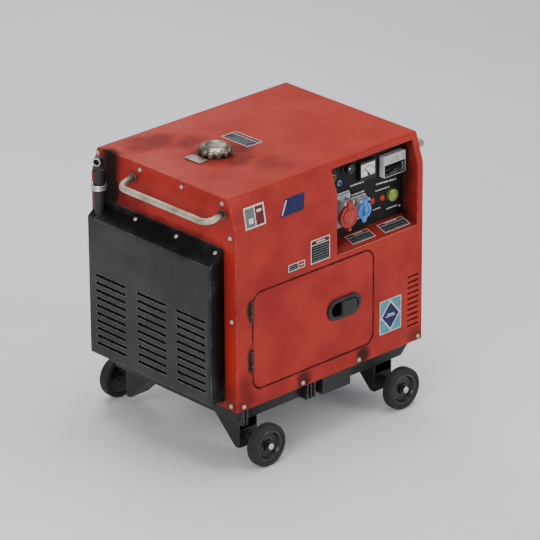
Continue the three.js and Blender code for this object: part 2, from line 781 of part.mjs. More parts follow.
// The red tub between the front sheet and the control plate; its shelf rises towards the plate.
function consoleTub() {
  const { x, bottom, top, depth, rise } = CONSOLE;
  const front = SHEET + 2 * GAP; // the tub starts just behind the front sheet
  const lid = top + SHEET;
  const shelfAt = (y) => bottom + (rise * y) / depth;
  const outside = polygon([
    [front, shelfAt(front) - SHEET],
    [depth, shelfAt(depth) - SHEET],
    [depth, lid],
    [front + ((lid - EAVES) * SLOPE_IN) / SLOPE_DROP, lid],
    [front, EAVES],
  ]);
  const [before, behind] = [-30, depth + 5]; // the hollow runs out through both faces
  const inside = polygon([
    [before, shelfAt(before)],
    [behind, shelfAt(behind)],
    [behind, top],
    [before, top],
  ]);
  return cut(pushed(outside, "x", ...around(x, SHEET)), pushed(inside, "x", ...x));
}

const PLATE_FACE = CONSOLE.depth + GAP; // the control plate's face
const SEAT = PLATE_FACE - GAP; // where a piece mounted on the plate ends

const KNOB = { at: [418, 509], radius: 17, out: 34 };
const METER = { x: [456, 510], z: [461, 511], out: 42, face: [471.5, 505.5] };
const BREAKER = { x: [531, 607], z: [451, 508], out: 36 };
const WINDOW = { x: [538, 600], z: [456, 480], depth: 11 };
const RED = { x: 398, z: 394, lid: 31, thick: 6.5, body: 27, well: 21, front: 26, hinge: 430 };
const BLUE = { x: 458, z: 390, lid: 23, thick: 6, body: 20.5, well: 16, front: 32, hinge: 417 };
RED.flange = { x: [369, 427], z: [358, 442] };
BLUE.flange = { x: [434, 484], z: [362, 418] };
const LID_HINGE = { pin: 1.5, barrel: 3.4, half: 12, set: 3.2, ear: [12.4, 15.4] };
const BUTTONS = [
  ["red_button_left", 503, 396, 8.7, 44, 0xb02a25],
  ["red_button_right", 538, 394.5, 8.7, 44, 0xb02a25],
  ["green_button", 573, 393, 16.5, 40, 0x8ca046],
];
const WELD = { x: 360, z: [503, 463], radius: 16.5, bore: 7, out: 36 };

function controlPlate() {
  const plate = block(
    [CONSOLE.x[0] - SHEET, CONSOLE.x[1] + SHEET],
    [PLATE_FACE, PLATE_FACE + 2.5],
    [CONSOLE.bottom + CONSOLE.rise - SHEET, CONSOLE.top + SHEET],
  );
  const holes = BUTTONS.map(([, x, z, radius]) => bar(radius + 0.7, "y", 40, 70, [x, 0, z], PLAIN));
  return cut(plate, ...holes);
}

function currentKnob() {
  const { radius, out } = KNOB;
  const profile = [
    [0, SEAT],
    [radius, SEAT],
    [radius, SEAT - 3],
    [radius - 3, SEAT - 5],
    [radius - 4, out + 1],
    [radius - 5, out],
    [0, out],
  ];
  const grip = turned(profile, "y", [0, 0, 0]);
  const scallops = Array.from({ length: 6 }, (_, i) => {
    const angle = ((i + 0.5) / 6) * Math.PI * 2;
    const reach = radius - 1;
    return bar(3, "y", out - 2, SEAT - 5, [reach * Math.cos(angle), 0, reach * Math.sin(angle)], 6);
  });
  return cut(grip, ...scallops);
}

function panelMeter() {
  const { x, z, out, face } = METER;
  const box = pushed(roundedRectangle(x, z, 3), "y", out, SEAT, 2);
  return cut(box, block(around(x, -3), [out - 1, out + 1.5], face));
}

function breakerCase() {
  const { x, z, out } = BREAKER;
  const box = pushed(roundedRectangle(x, z, 3), "y", out, SEAT, 2);
  return cut(box, block(WINDOW.x, [out - 1, out + WINDOW.depth], WINDOW.z));
}

function breakerLever() {
  const level = (WINDOW.z[0] + WINDOW.z[1]) / 2;
  const pivot = bar(4, "x", ...around(WINDOW.x, -2), [0, BREAKER.out + 6, level], PLAIN);
  const toggle = block([559, 579], [BREAKER.out - 5, BREAKER.out + 6], [level - 3, level + 3]);
  return join(pivot, toggle);
}

// A panel socket: a square flange, a round body with a blind well for the plug, and two ears whose pins
// the lid swings on.
function socket(s) {
  const flange = pushed(roundedRectangle(s.flange.x, s.flange.z, 5), "y", SEAT - 5, SEAT, 2);
  const body = bar(s.body, "y", s.front, SEAT - 4, [s.x, 0, s.z]);
  const well = bar(s.well, "y", s.front - 1, SEAT - 8, [s.x, 0, s.z]);
  const { pin, barrel, half, set, ear } = LID_HINGE;
  const axis = s.front - GAP - set;
  const ears = [-1, 1].flatMap((side) => {
    const span = ear.map((at) => s.x + side * at).sort((a, b) => a - b);
    const stub = [s.x + side * (half - 2), s.x + side * ear[0]].sort((a, b) => a - b);
    const cheek = block(span, [axis - barrel, SEAT - 4], [s.hinge - 4, s.hinge + 4]);
    return [cheek, bar(pin, "x", stub[0], stub[1] + 0.1, [0, axis, s.hinge], 8)];
  });
  return join(cut(join(flange, body), well), ...ears);
}

// Its sprung lid: a dished disc, a thumb tab at the foot and a barrel at the top that it swings on.
function socketLid(s) {
  const back = s.front - GAP;
  const front = back - s.thick;
  const profile = [
    [0, back],
    [s.lid, back],
    [s.lid, front + 2],
    [s.lid - 2, front],
    [s.lid - 6, front],
    [s.lid - 7.5, front + 1.2],
    [0, front + 1.2],
  ];
  const disc = turned(profile, "y", [s.x, 0, s.z]);
  const foot = s.z - s.lid;
  const tabOutline = roundedRectangle([s.x - 7, s.x + 7], [foot - 8, foot + 8], 5);
  const tab = pushed(tabOutline, "y", back - 3.5, back, 2);
  const arm = block([s.x - 9, s.x + 9], [front + 2, back], [s.z + s.lid - 6, s.hinge]);
  const { pin, barrel: radius, half, set } = LID_HINGE;
  const barrel = bar(radius, "x", s.x - half, s.x + half, [0, back - set, s.hinge], PLAIN);
  const bores = [-1, 1].map((side) => {
    const ends = [s.x + side * (half - 2.5), s.x + side * (half + 1)].sort((a, b) => a - b);
    return bar(pin + 0.4, "x", ...ends, [0, back - set, s.hinge], 8);
  });
  return cut(join(disc, tab, arm, barrel), ...bores);
}

function weldSocket(z) {
  const { x, radius, bore, out } = WELD;
  const profile = [
    [0, SEAT],
    [radius, SEAT],
    [radius, SEAT - 4],
    [radius - 2.5, SEAT - 6],
    [radius - 2.5, out + 1],
    [radius - 3.5, out],
    [bore, out],
    [bore, SEAT - 3],
    [0, SEAT - 3],
  ];
  return turned(profile, "y", [x, 0, z], PLAIN);
}

function pushButton(radius, out) {
  const profile = [
    [0, SEAT + 6],
    [radius, SEAT + 6],
    [radius, out + 3],
    [radius * 0.8, out + 1],
    [radius * 0.45, out],
    [0, out],
  ];
  return turned(profile, "y", [0, 0, 0], PLAIN);
}

// ---------------------------------------------------------------- engine, generator and what serves them

const SHAFT = { y: 265, z: 150, radius: 14 };
const ENGINE = { x: [128, 286], half: 78, z: [48, 226], corner: 26, foot: 92, cover: 62, cylinder: 205 };
const FINS = { count: 6, first: 8, pitch: 14, thick: 5, half: 62, head: 68, headFrom: 4 };
const FAN = { x: [58, 127], radius: 98, wall: 3, disc: 84, inlets: 6, ring: 68, inlet: 12 };
const ALTERNATOR = { x: [316, 500], radius: 88, ribs: 8, foot: 85 };
const RAIL = { y: [205, 325], x: [70, 520], width: 40, height: 30, sheet: 3 };
const CRADLE = { near: [24, 40], far: [301, 313], y: [162, 368], post: 14 };

// Two rolled channels and their cross members stand on the tray's floor. Two hoops rise from them on each
// side of the engine and carry the fuel tank by its seam flange.
function engineRails() {
  const base = TRAY.wall + GAP - TRAY.depth;
  const { width, height, sheet } = RAIL;
  const rails = RAIL.y.map((y) =>
    cut(
      block(RAIL.x, [y - width / 2, y + width / 2], [base, height]),
      block(
        around(RAIL.x, 1),
        [y - width / 2 + sheet, y + width / 2 + 1],
        [base + sheet, height - sheet],
      ),
    ),
  );
  const ties = [90, 480].map((x) => block([x, x + 20], [190, 340], [base, base + 12]));
  const seat = TANK.seam - 1.5 - GAP;
  const { near, far, y, post } = CRADLE;
  const hoop = (x, foot) => [
    block(x, [y[0], y[0] + post], [foot, seat]),
    block(x, [y[1] - post, y[1]], [foot, seat]),
    block(x, y, [seat - post, seat]),
    block(x, y, [foot, foot + sheet]),
  ];
  const step = TRAY.wall + GAP; // the near hoop stands clear of the tray's sloping wall, on a shelf
  const shelf = block([near[0], RAIL.x[0] + 1], y, [step, step + sheet]);
  const ledge = block([near[1] - 1, TANK.x[0] - 2], y, [seat - sheet, seat]);
  return join(...rails, ...ties, ...hoop(near, step), ...hoop(far, base), shelf, ledge);
}

function engineBlock() {
  const { y, z } = SHAFT;
  const { x, half, corner, foot, cover } = ENGINE;
  const caseOutline = roundedRectangle([y - half, y + half], ENGINE.z, corner);
  const crankcase = pushed(caseOutline, "x", ...x, 1);
  const feet = block(around(x, -12), [y - foot, y + foot], [RAIL.height + GAP, ENGINE.z[0] + 4]);
  const sideCover = bar(cover, "x", x[1] - 1, x[1] + 12, [0, y, z]);
  const filler = bar(11, "y", y - foot, y - half + 8, [x[0] + 32, 0, ENGINE.z[0] + 44], PLAIN);
  const bore = bar(SHAFT.radius + 1, "x", ...around(x, 28), [0, y, z], PLAIN);
  return cut(join(crankcase, feet, sideCover, filler), bore);
}

// An air-cooled cylinder: a barrel with plate fins, the head's taller fins, and a rounded rocker cover.
function cylinderHead() {
  const { y } = SHAFT;
  const x = ENGINE.cylinder;
  const from = ENGINE.z[1] + GAP;
  const deck = from + FINS.first + FINS.count * FINS.pitch;
  const barrel = block([x - 40, x + 40], [y - 40, y + 40], [from, deck + 6]);
  const fins = Array.from({ length: FINS.count }, (_, i) => {
    const z = from + FINS.first + i * FINS.pitch;
    const half = i < FINS.headFrom ? FINS.half : FINS.head;
    const fin = roundedRectangle([x - half, x + half], [y - half, y + half], 14);
    return pushed(fin, "z", z, z + FINS.thick, 1);
  });
  const cover = roundedRectangle([x - 55, x + 55], [y - 48, y + 48], 16);
  const rocker = pushed(cover, "z", deck, deck + 34, 1);
  return join(barrel, ...fins, rocker);
}

// The fan housing in front of the flywheel, with its round grille and pull-starter boss.
function flywheelShroud() {
  const { y, z } = SHAFT;
  const { x, radius, wall, inlets, ring, inlet } = FAN;
  const outside = bar(radius, "x", ...x, [0, y, z]);
  const inside = bar(radius - wall, "x", x[0] + wall + 1, x[1] + 1, [0, y, z]);
  const grille = Array.from({ length: inlets }, (_, i) => {
    const angle = (i / inlets) * Math.PI * 2;
    const at = [0, y + ring * Math.cos(angle), z + ring * Math.sin(angle)];
    return bar(inlet, "x", ...around([x[0], x[0] + wall], 8), at, 8);
  });
  const boss = bar(40, "x", x[0] - 8, x[0] + 2, [0, y, z], PLAIN);
  return join(cut(outside, inside, ...grille), boss);
}

function crankshaft() {
  const { y, z, radius } = SHAFT;
  const face = FAN.x[0] + 18; // the flywheel's outer face
  const end = ALTERNATOR.x[1] + 20;
  const profile = [
    [0, face - 10],
    [radius + 8, face - 10],
    [radius + 8, face],
    [FAN.disc, face],
    [FAN.disc, face + 24],
    [radius, face + 28],
    [radius, end],
    [0, end],
  ];
  return turned(profile, "x", [0, y, z], PLAIN);
}

function generatorHousing() {
  const { y, z } = SHAFT;
  const { radius, foot } = ALTERNATOR;
  const [near, far] = ALTERNATOR.x;
  const shell = [
    [radius - 22, near],
    [radius - 10, near],
    [radius, near + 6],
    [radius, far - 14],
    [radius - 8, far],
    [24, far],
    [24, far - 6],
    [radius - 22, far - 10],
  ];
  const ribs = Array.from({ length: ALTERNATOR.ribs }, (_, i) => {
    const rib = block([near + 14, far - 20], [-2, 2], [radius - 4, radius + 6]);
    return rib.rotate([((i + 0.5) / ALTERNATOR.ribs) * 360, 0, 0]).translate([0, y, z]);
  });
  const feet = block([near + 24, far - 40], [y - foot, y + foot], [RAIL.height + GAP, 66]);
  const round = bar(radius - 2, "x", near - 16, far + 10, [0, y, z]);
  return join(turned(shell, "x", [0, y, z]), cut(feet, round), ...ribs);
}

function generatorRotor() {
  const bore = SHAFT.radius + GAP;
  const core = ALTERNATOR.radius - 26;
  const [near, far] = around(ALTERNATOR.x, -6);
  const profile = [
    [bore, near],
    [core, near],
    [core, far - 44],
    [bore + 8, far - 38],
    [bore + 8, far - 10],
    [bore, far - 10],
  ];
  return turned(profile, "x", [0, SHAFT.y, SHAFT.z], PLAIN);
}

const SILENCER = { x: [44, 116], y: [150, 492], z: [262, 350], corner: 34, port: [250, 300] };

// The silencer lies across the engine, hung from the cradle's post and from the manifold at the cylinder.
function muffler() {
  const { x, y, z, corner, port } = SILENCER;
  const shell = pushed(roundedRectangle(x, z, corner), "y", ...y, 1);
  const outlet = bar(EXHAUST.radius + 3, "x", 36.4, x[0] + 6, [0, EXHAUST.y, EXHAUST.port], PLAIN);
  const head = ENGINE.cylinder - FINS.head - GAP - 0.1; // the head's side, where the manifold ends
  const [across, level] = port;
  const manifold = bar(14, "x", x[1] - 4, head, [0, across, level], PLAIN);
  const plate = block([head - 4.6, head], around([across, across], 20), around([level, level], 16));
  const strap = [CRADLE.y[0] + 1, CRADLE.y[0] + 13];
  const hanger = block([CRADLE.near[1] + GAP, x[0] + 6], strap, [level - 4, level + 16]);
  return join(shell, outlet, manifold, plate, hanger);
}

const BATTERY = { x: [535, 590], y: [300, 460], top: 92, lid: 14, post: 7 };

function battery() {
  const { x, y, top, lid, post } = BATTERY;
  const base = TRAY.wall + GAP - TRAY.depth;
  const box = pushed(roundedRectangle(x, y, 4), "z", base, top, 2);
  const cover = pushed(roundedRectangle(around(x, 2), around(y, 2), 5), "z", top - lid, top, 2);
  const middle = (x[0] + x[1]) / 2;
  const posts = around(y, -20).map((at) => bar(post, "z", top - 2, top + 14, [middle, at, 0], 8));
  return join(box, cover, ...posts);
}

const CLEANER = { x: 210, y: 344, z: 292, radius: 55, depth: 72, neck: 18 };

// A round air cleaner on the cylinder's rear side, its lid clipped over a rolled edge.
function airCleaner() {
  const { x, y, z, radius, depth, neck } = CLEANER;
  const lid = y + depth;
  const profile = [
    [0, y],
    [radius - 3, y],
    [radius, y + 4],
    [radius, lid - 20],
    [radius + 3, lid - 18],
    [radius + 3, lid - 12],
    [radius - 5, lid - 2],
    [0, lid],
  ];
  const head = SHAFT.y + FINS.head + GAP + 0.1; // where the neck meets the cylinder's fins
  return join(turned(profile, "y", [x, 0, z]), bar(neck, "y", head, y + 2, [x, 0, z], PLAIN));
}

// ---------------------------------------------------------------- assembly

add("front_panel", frontPanel(), redPaint());
add("rear_panel", rearPanel(), redPaint(), farSide);
add("left_end_panel", leftEnd(), redPaint());
add("right_end_panel", rightEnd(), redPaint(), farSide);
add("roof_panel", roofPanel(), redPaint());

add("door_panel", doorPanel(), redPaint());
HINGE.low.forEach((z, i) => {
  const level = i ? "upper" : "lower";
  add(`hinge_leaf_${level}`, hingeFixed(z), blackPaint());
  add(`door_hinge_${level}`, hingeMoving(z), blackPaint());
});
add("latch_body", latchBody(), blackPlastic());
add("latch_paddle", latchPaddle(), blackPlastic());
add("latch_bolt", latchBolt(), bareSteel());

add("end_cover", endCover(), blackPaint());
add("handle_left", handle(), bareSteel());
const rightHandle = new THREE.Group();
rightHandle.position.y = WIDTH - HANDLE.y[0] - HANDLE.y[1];
farSide.add(rightHandle);
add("handle_right", handle(), bareSteel(), rightHandle);

add("exhaust_pipe", exhaustPipe(), castIron());
const clampPlace = new THREE.Group();
clampPlace.position.set(EXHAUST.x, EXHAUST.y, 0);
machine.add(clampPlace);
add("exhaust_clamp", exhaustClamp(), bareSteel(), clampPlace);

add("fuel_tank", fuelTank(), blackPaint());
const capPlace = new THREE.Group();
capPlace.position.set(...FUEL.at, 0);
machine.add(capPlace);
add("fuel_cap", fuelCap(), bareSteel(), capPlace);
add("cap_gasket", capGasket(), rubber(), capPlace);
add("fuel_gauge", gaugePlate(), bareSteel());

add("console_tub", consoleTub(), redPaint());
add("control_plate", controlPlate(), blackPaint());
const knobPlace = new THREE.Group();
knobPlace.position.set(KNOB.at[0], 0, KNOB.at[1]);
machine.add(knobPlace);
add("current_knob", currentKnob(), blackPlastic(), knobPlace);
add("panel_meter", panelMeter(), blackPlastic());
add("breaker_case", breakerCase(), greyPlastic());
add("breaker_lever", breakerLever(), greyPlastic());
add("red_socket", socket(RED), greyPlastic());
add("red_socket_lid", socketLid(RED), redPlastic());
add("blue_socket", socket(BLUE), greyPlastic());
add("blue_socket_lid", socketLid(BLUE), bluePlastic());
for (const [name, x, z, radius, out, color] of BUTTONS) {
  const place = new THREE.Group();
  place.position.set(x, 0, z);
  machine.add(place);
  add(name, pushButton(radius, out), finish(color, 0.35), place);
}
add("weld_socket_positive", weldSocket(WELD.z[0]), blackPlastic());
add("weld_socket_negative", weldSocket(WELD.z[1]), blackPlastic());

add("engine_rails", engineRails(), blackPaint());
add("engine_block", engineBlock(), castAlloy());
add("cylinder_head", cylinderHead(), castAlloy());
add("flywheel_shroud", flywheelShroud(), blackPaint());
add("crankshaft", crankshaft(), castIron());
add("generator_housing", generatorHousing(), castAlloy());
add("generator_rotor", generatorRotor(), castIron());
add("muffler", muffler(), castIron());
add("battery", battery(), blackPlastic());
add("air_cleaner", airCleaner(), blackPlastic());

const welder = new THREE.Group();
welder.add(machine);

export default welder;
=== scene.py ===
# %% [markdown]
# # Dressing an engine driven welder
# The imported model already has every panel, wheel, hinge and knob in its right place and at its right size.
# This lesson adds what a maker would call the finish: enamel, plating, rubber, moulded plastic, printed
# films, screws, and the small turned and bent pieces whose roundness the plain solids only suggest.
# The model is loaded first, and the extent of its front sheet is measured.

import math

import bmesh
import bpy
from mathutils import Matrix, Vector


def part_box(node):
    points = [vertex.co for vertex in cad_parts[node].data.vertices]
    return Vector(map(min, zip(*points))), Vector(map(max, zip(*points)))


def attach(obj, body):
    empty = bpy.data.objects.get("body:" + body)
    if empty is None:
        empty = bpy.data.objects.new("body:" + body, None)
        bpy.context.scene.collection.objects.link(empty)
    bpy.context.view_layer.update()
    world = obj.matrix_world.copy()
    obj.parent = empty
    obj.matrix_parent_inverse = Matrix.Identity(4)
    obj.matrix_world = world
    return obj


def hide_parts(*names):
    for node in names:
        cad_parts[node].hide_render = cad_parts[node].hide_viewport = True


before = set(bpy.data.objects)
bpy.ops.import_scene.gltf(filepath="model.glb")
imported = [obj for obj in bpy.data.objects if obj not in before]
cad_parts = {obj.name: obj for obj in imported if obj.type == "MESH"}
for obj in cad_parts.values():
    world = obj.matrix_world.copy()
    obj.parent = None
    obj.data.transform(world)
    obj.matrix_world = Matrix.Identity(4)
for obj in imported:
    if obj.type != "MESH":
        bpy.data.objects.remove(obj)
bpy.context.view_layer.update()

# %% [markdown]
# The machine was drawn in millimetres from one corner of its canopy: X along the door side, Y from the door
# to the rear, Z up from the canopy's lower edge. Working in the same numbers makes every later step easy to
# check with a ruler, so a mesh is built in those millimetres and moved into the scene when it is finished.

# %% The canopy's own ruler
LENGTH, WIDTH, HEIGHT = 632.0, 520.0, 552.5
SLOPE_DROP, SLOPE_IN = 76.0, 25.0
EAVES = HEIGHT - SLOPE_DROP
CORNER = Vector((-LENGTH / 2, -WIDTH / 2, 162.0))


def at(x, y, z):
    """A place on the canopy, given in millimetres, as scene metres."""
    return (Vector((x, y, z)) + CORNER) * 0.001


low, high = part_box("front_panel")
print("front sheet from", [round(v, 3) for v in low], "to", [round(v, 3) for v in high])

# %% [markdown]
# The camera comes before the looks, because it decides how much detail each surface needs. A long lens
# from about ten metres keeps the canopy's edges almost parallel. Its direction is an azimuth and an
# elevation about a point inside the machine, with a small roll about its own axis.

# %% The camera
AZIMUTH, ELEVATION, ROLL = map(math.radians, (-43.121, 23.722, -0.349))
TARGET = Vector((0.0395, 0.0, 0.3505))
DISTANCE = 9.9897
LENS, SENSOR = 266.6667, 36.0
back = Vector(
    (
        math.sin(AZIMUTH) * math.cos(ELEVATION),
        -math.cos(AZIMUTH) * math.cos(ELEVATION),
        math.sin(ELEVATION),
    )
)
right = Vector((math.cos(AZIMUTH), math.sin(AZIMUTH), 0.0))
up = back.cross(right)
level = Matrix((right, up, back)).transposed()
camera_data = bpy.data.cameras.new("camera")
camera_data.sensor_width = SENSOR
camera_data.lens = LENS
camera_data.clip_end = 60.0
camera = bpy.data.objects.new("camera", camera_data)
camera.matrix_world = Matrix.Translation(TARGET + back * DISTANCE) @ (
    level @ Matrix.Rotation(ROLL, 3, "Z")
).to_4x4()
bpy.context.scene.collection.objects.link(camera)
bpy.context.scene.camera = camera
print("lens", round(camera_data.lens, 1), "mm")

# %% [markdown]
# ## A plain studio
# Light comes from broad soft panels: one overhead, which makes the roof the brightest face, one to the left
# of the door side, a weaker one to its right and one behind. Broad panels give the enamel long, soft
# highlights instead of hard spots. The pale floor goes down last, when nothing can sink into it.

# %% Lights
PANELS = {
    "overhead_panel": ((0.3, 0.1, 3.6), 2.6, 70),
    "left_panel": ((-3.2, -1.4, 1.9), 2.2, 62),
    "right_panel": ((1.6, -3.6, 1.6), 2.0, 48),
    "rear_panel": ((1.4, 3.2, 2.4), 2.0, 30),
}
MIDDLE = Vector((0, 0, 0.35))
for name, (place, size, power) in PANELS.items():
    lamp = bpy.data.lights.new(name, "AREA")
    lamp.shape = "DISK"
    lamp.size = size
    lamp.energy = power
    light = bpy.data.objects.new(name, lamp)
    light.location = place
    light.rotation_euler = (MIDDLE - Vector(place)).to_track_quat("-Z", "Y").to_euler()
    bpy.context.scene.collection.objects.link(light)
world = bpy.data.worlds.new("studio")
bpy.context.scene.world = world
world.use_nodes = True
sky = world.node_tree.nodes["Background"]
sky.inputs["Color"].default_value = (0.82, 0.85, 0.9, 1)
sky.inputs["Strength"].default_value = 0.48
print("studio lit by", len(PANELS), "panels")

# %% [markdown]
# ## Building with nodes
# Every finish is a small graph of nodes. A few helpers keep those graphs readable: put lays a node down and
# fills or links its inputs, and maths, vector, noise and ramp wrap the nodes that are wanted most. A group
# is a graph with named inputs and outputs that many finishes can share; most of these give a mask, which is
# 0 where an effect is absent and 1 where it is full.


# %% Node helpers
def put(tree, kind, inputs=None, **settings):
    """Adds one shader node. A value that is a socket is linked, and any other is typed in."""
    made = tree.nodes.new("ShaderNode" + kind)
    for key, value in settings.items():
        setattr(made, key, value)
    for key, value in (inputs or {}).items():
        if isinstance(value, bpy.types.NodeSocket):
            tree.links.new(value, made.inputs[key])
        else:
            made.inputs[key].default_value = value
    return made


def start_group(name, inputs, outputs):
    group = bpy.data.node_groups.new(name, "ShaderNodeTree")
    for label, value in inputs.items():
        kind = "NodeSocketVector" if isinstance(value, tuple) else "NodeSocketFloat"
        socket = group.interface.new_socket(label, in_out="INPUT", socket_type=kind)
        socket.default_value = value
    for label, kind in outputs.items():
        group.interface.new_socket(label, in_out="OUTPUT", socket_type="NodeSocket" + kind)
    enter = group.nodes.new("NodeGroupInput")
    leave = group.nodes.new("NodeGroupOutput")
    return group, enter.outputs, leave.inputs


def maths(tree, operation, first, second=None, clamp=False):
    made = put(tree, "Math", {0: first}, operation=operation, use_clamp=clamp)
    if isinstance(second, bpy.types.NodeSocket):
        tree.links.new(second, made.inputs[1])
    elif second is not None:
        made.inputs[1].default_value = second
    return made.outputs[0]


def vector(tree, operation, first, second=None, gives="Vector"):
    inputs = {0: first} if second is None else {0: first, 1: second}
    return put(tree, "VectorMath", inputs, operation=operation).outputs[gives]


def from_middle(tree, given):
    """Where a point lies, seen from the group's centre."""
    return vector(tree, "SUBTRACT", put(tree, "TexCoord").outputs["Object"], given["Centre"])


def noise(tree, scale, detail, roughness, where=None):
    """Cloudy noise that stays with the object when it moves."""
    if where is None:
        where = put(tree, "TexCoord").outputs["Object"]
    inputs = {"Vector": where, "Scale": scale, "Detail": detail, "Roughness": roughness}
    return put(tree, "TexNoise", inputs).outputs["Fac"]


def ramp(tree, value, low, high, to_low=0.0, to_high=1.0):
    """Fades smoothly from to_low to to_high while the value goes from low to high."""
    made = put(
        tree,
        "MapRange",
        {"Value": value, "From Min": low, "From Max": high, "To Min": to_low, "To Max": to_high},
        interpolation_type="SMOOTHSTEP",
    )
    return made.outputs["Result"]


def give_mask(tree, mask, given, result):
    """Ends a group: its mask at the strength asked for."""
    tree.links.new(maths(tree, "MULTIPLY", mask, given["Amount"], clamp=True), result["Mask"])
    print(f"{tree.name}: {len(tree.nodes)} nodes")


# %% [markdown]
# ** Worn edges and painted highlights.** Paint thins and chips where hands and straps rub, which is along
# outward edges, and the lighter colour laid along them is also a painted highlight. The Bevel
# node gives the normal that a rounded edge would have; where it differs from the true one there is an edge.
# Noise then breaks the line up, so that it looks rubbed and not drawn.

# %% Group: edge wear and painted highlight
edge_wear_and_highlight, given, result = start_group(
    "edge wear", {"Radius": 0.002, "Scale": 120.0, "Amount": 0.5}, {"Mask": "Float"}
)
rounded = put(edge_wear_and_highlight, "Bevel", {"Radius": given["Radius"]}, samples=4)
surface = put(edge_wear_and_highlight, "NewGeometry")
agree = vector(edge_wear_and_highlight, "DOT_PRODUCT", rounded.outputs["Normal"], surface.outputs["Normal"], "Value")
bend = maths(edge_wear_and_highlight, "SUBTRACT", 1.0, agree, clamp=True)
broken = ramp(edge_wear_and_highlight, noise(edge_wear_and_highlight, given["Scale"], 5.0, 0.65), 0.38, 0.66)
strength = maths(edge_wear_and_highlight, "MULTIPLY", ramp(edge_wear_and_highlight, bend, 0.015, 0.16), broken)
give_mask(edge_wear_and_highlight, strength, given, result)

# %% [markdown]
# ** Grime and painted shade.** Dirt gathers where a cloth doesn't reach: seams, slots and the foot of every
# screw, which are also where shade falls, so this darkening is partly grime and partly painted shade.
# Ambient occlusion measures how shut in a point is, and noise keeps the result uneven.

# %% Group: grime and painted shade in corners
corner_grime_and_shade, given, result = start_group(
    "corner grime", {"Distance": 0.02, "Scale": 45.0, "Amount": 0.7}, {"Mask": "Float"}
)
shelter = put(corner_grime_and_shade, "AmbientOcclusion", {"Distance": given["Distance"]}, samples=6)
hidden = maths(corner_grime_and_shade, "SUBTRACT", 1.0, shelter.outputs["AO"], clamp=True)
uneven = ramp(corner_grime_and_shade, noise(corner_grime_and_shade, given["Scale"], 6.0, 0.6), 0.25, 0.75, 0.45, 1.25)
gathered = maths(corner_grime_and_shade, "MULTIPLY", ramp(corner_grime_and_shade, hidden, 0.12, 0.8), uneven)
give_mask(corner_grime_and_shade, gathered, given, result)

# %% [markdown]
# **Weather.** Large soft blotches change how deep a colour looks, and rain draws thin upright streaks down
# a wall. Both read the object's own coordinates, so a pattern stays on its panel when the door swings.

# %% Group: weather
weather, given, result = start_group(
    "weather", {"Scale": 5.0, "Streaks": 70.0}, {"Blotch": "Float", "Streak": "Float", "Fine": "Float"}
)
place = put(weather, "TexCoord").outputs["Object"]
drawn_out = put(weather, "Mapping", {"Vector": place, "Scale": (1.0, 1.0, 0.045)}).outputs["Vector"]
blotches = ramp(weather, noise(weather, given["Scale"], 6.0, 0.58, place), 0.3, 0.7)
runs = ramp(weather, noise(weather, given["Streaks"], 4.0, 0.6, drawn_out), 0.55, 0.8)
specks = ramp(weather, noise(weather, 420.0, 3.0, 0.7, place), 0.3, 0.7)
weather.links.new(blotches, result["Blotch"])
weather.links.new(runs, result["Streak"])
weather.links.new(specks, result["Fine"])
print("weather:", len(weather.nodes), "nodes")

# %% [markdown]
# ** Stains and painted shade.** Fuel is spilt round the filler, and oil creeps from under the lower screws.
# The same patches paint the exhaust's shadow on the end plate, partly soot, a shadow along the top of the
# end cover, shade in the console's recess, and shade and a dark reflection on the end cover; beside the
# door's hinges they only darken the wall. Each patch is a soft dark ball about one place, flattened to a
# size, with its rim broken up by noise, so it colours only the sheets that pass through it.

# %% Group: stain and painted shade
stain_and_shade, given, result = start_group(
    "stain_and_shade", {"Centre": (0.0, 0.0, 0.0), "Size": (0.03, 0.03, 0.03), "Amount": 0.5}, {"Mask": "Float"}
)
scaled = vector(stain_and_shade, "DIVIDE", from_middle(stain_and_shade, given), given["Size"])
wander = ramp(stain_and_shade, noise(stain_and_shade, 20.0, 3.0, 0.5), 0.25, 0.75, -0.24, 0.24)
reach = maths(stain_and_shade, "ADD", vector(stain_and_shade, "LENGTH", scaled, gives="Value"), wander)
give_mask(stain_and_shade, ramp(stain_and_shade, reach, 0.3, 1.1, 1.0, 0.0), given, result)

# %% [markdown]
# **The door's gap.** Dirt and oil also line the narrow gap round the service door. How far a point is from
# a rectangle with round corners is a short formula: fold the plane about the middle, measure to the corner
# arc's centre, and take off its radius. The mask is dark where that distance is nearly nothing.

# %% Group: gap line
gap_line, given, result = start_group(
    "gap line",
    {"Centre": (0.0, 0.0, 0.0), "Half": (0.1, 1.0, 0.1), "Corner": 0.03, "Width": 0.005, "Amount": 0.6},
    {"Mask": "Float"},
)
folded = vector(gap_line, "ABSOLUTE", from_middle(gap_line, given))
outside = put(gap_line, "SeparateXYZ", {"Vector": vector(gap_line, "SUBTRACT", folded, given["Half"])})
across = maths(gap_line, "ADD", outside.outputs["X"], given["Corner"])
upward = maths(gap_line, "ADD", outside.outputs["Z"], given["Corner"])
inner = maths(gap_line, "MINIMUM", maths(gap_line, "MAXIMUM", across, upward), 0.0)
flat = put(
    gap_line,
    "CombineXYZ",
    {"X": maths(gap_line, "MAXIMUM", across, 0.0), "Z": maths(gap_line, "MAXIMUM", upward, 0.0)},
)
to_arc = vector(gap_line, "LENGTH", flat.outputs["Vector"], gives="Value")
signed = maths(gap_line, "SUBTRACT", maths(gap_line, "ADD", to_arc, inner), given["Corner"])
share = maths(gap_line, "DIVIDE", maths(gap_line, "ABSOLUTE", signed), given["Width"])
uneven = ramp(gap_line, noise(gap_line, 40.0, 5.0, 0.6), 0.3, 0.7, 0.45, 1.0)
near = maths(gap_line, "MULTIPLY", ramp(gap_line, share, 0.2, 1.0, 1.0, 0.0), uneven)
depth = put(gap_line, "SeparateXYZ", {"Vector": folded}).outputs["Y"]
near = maths(gap_line, "MULTIPLY", near, ramp(gap_line, depth, 0.002, 0.005, 1.0, 0.0))
give_mask(gap_line, near, given, result)
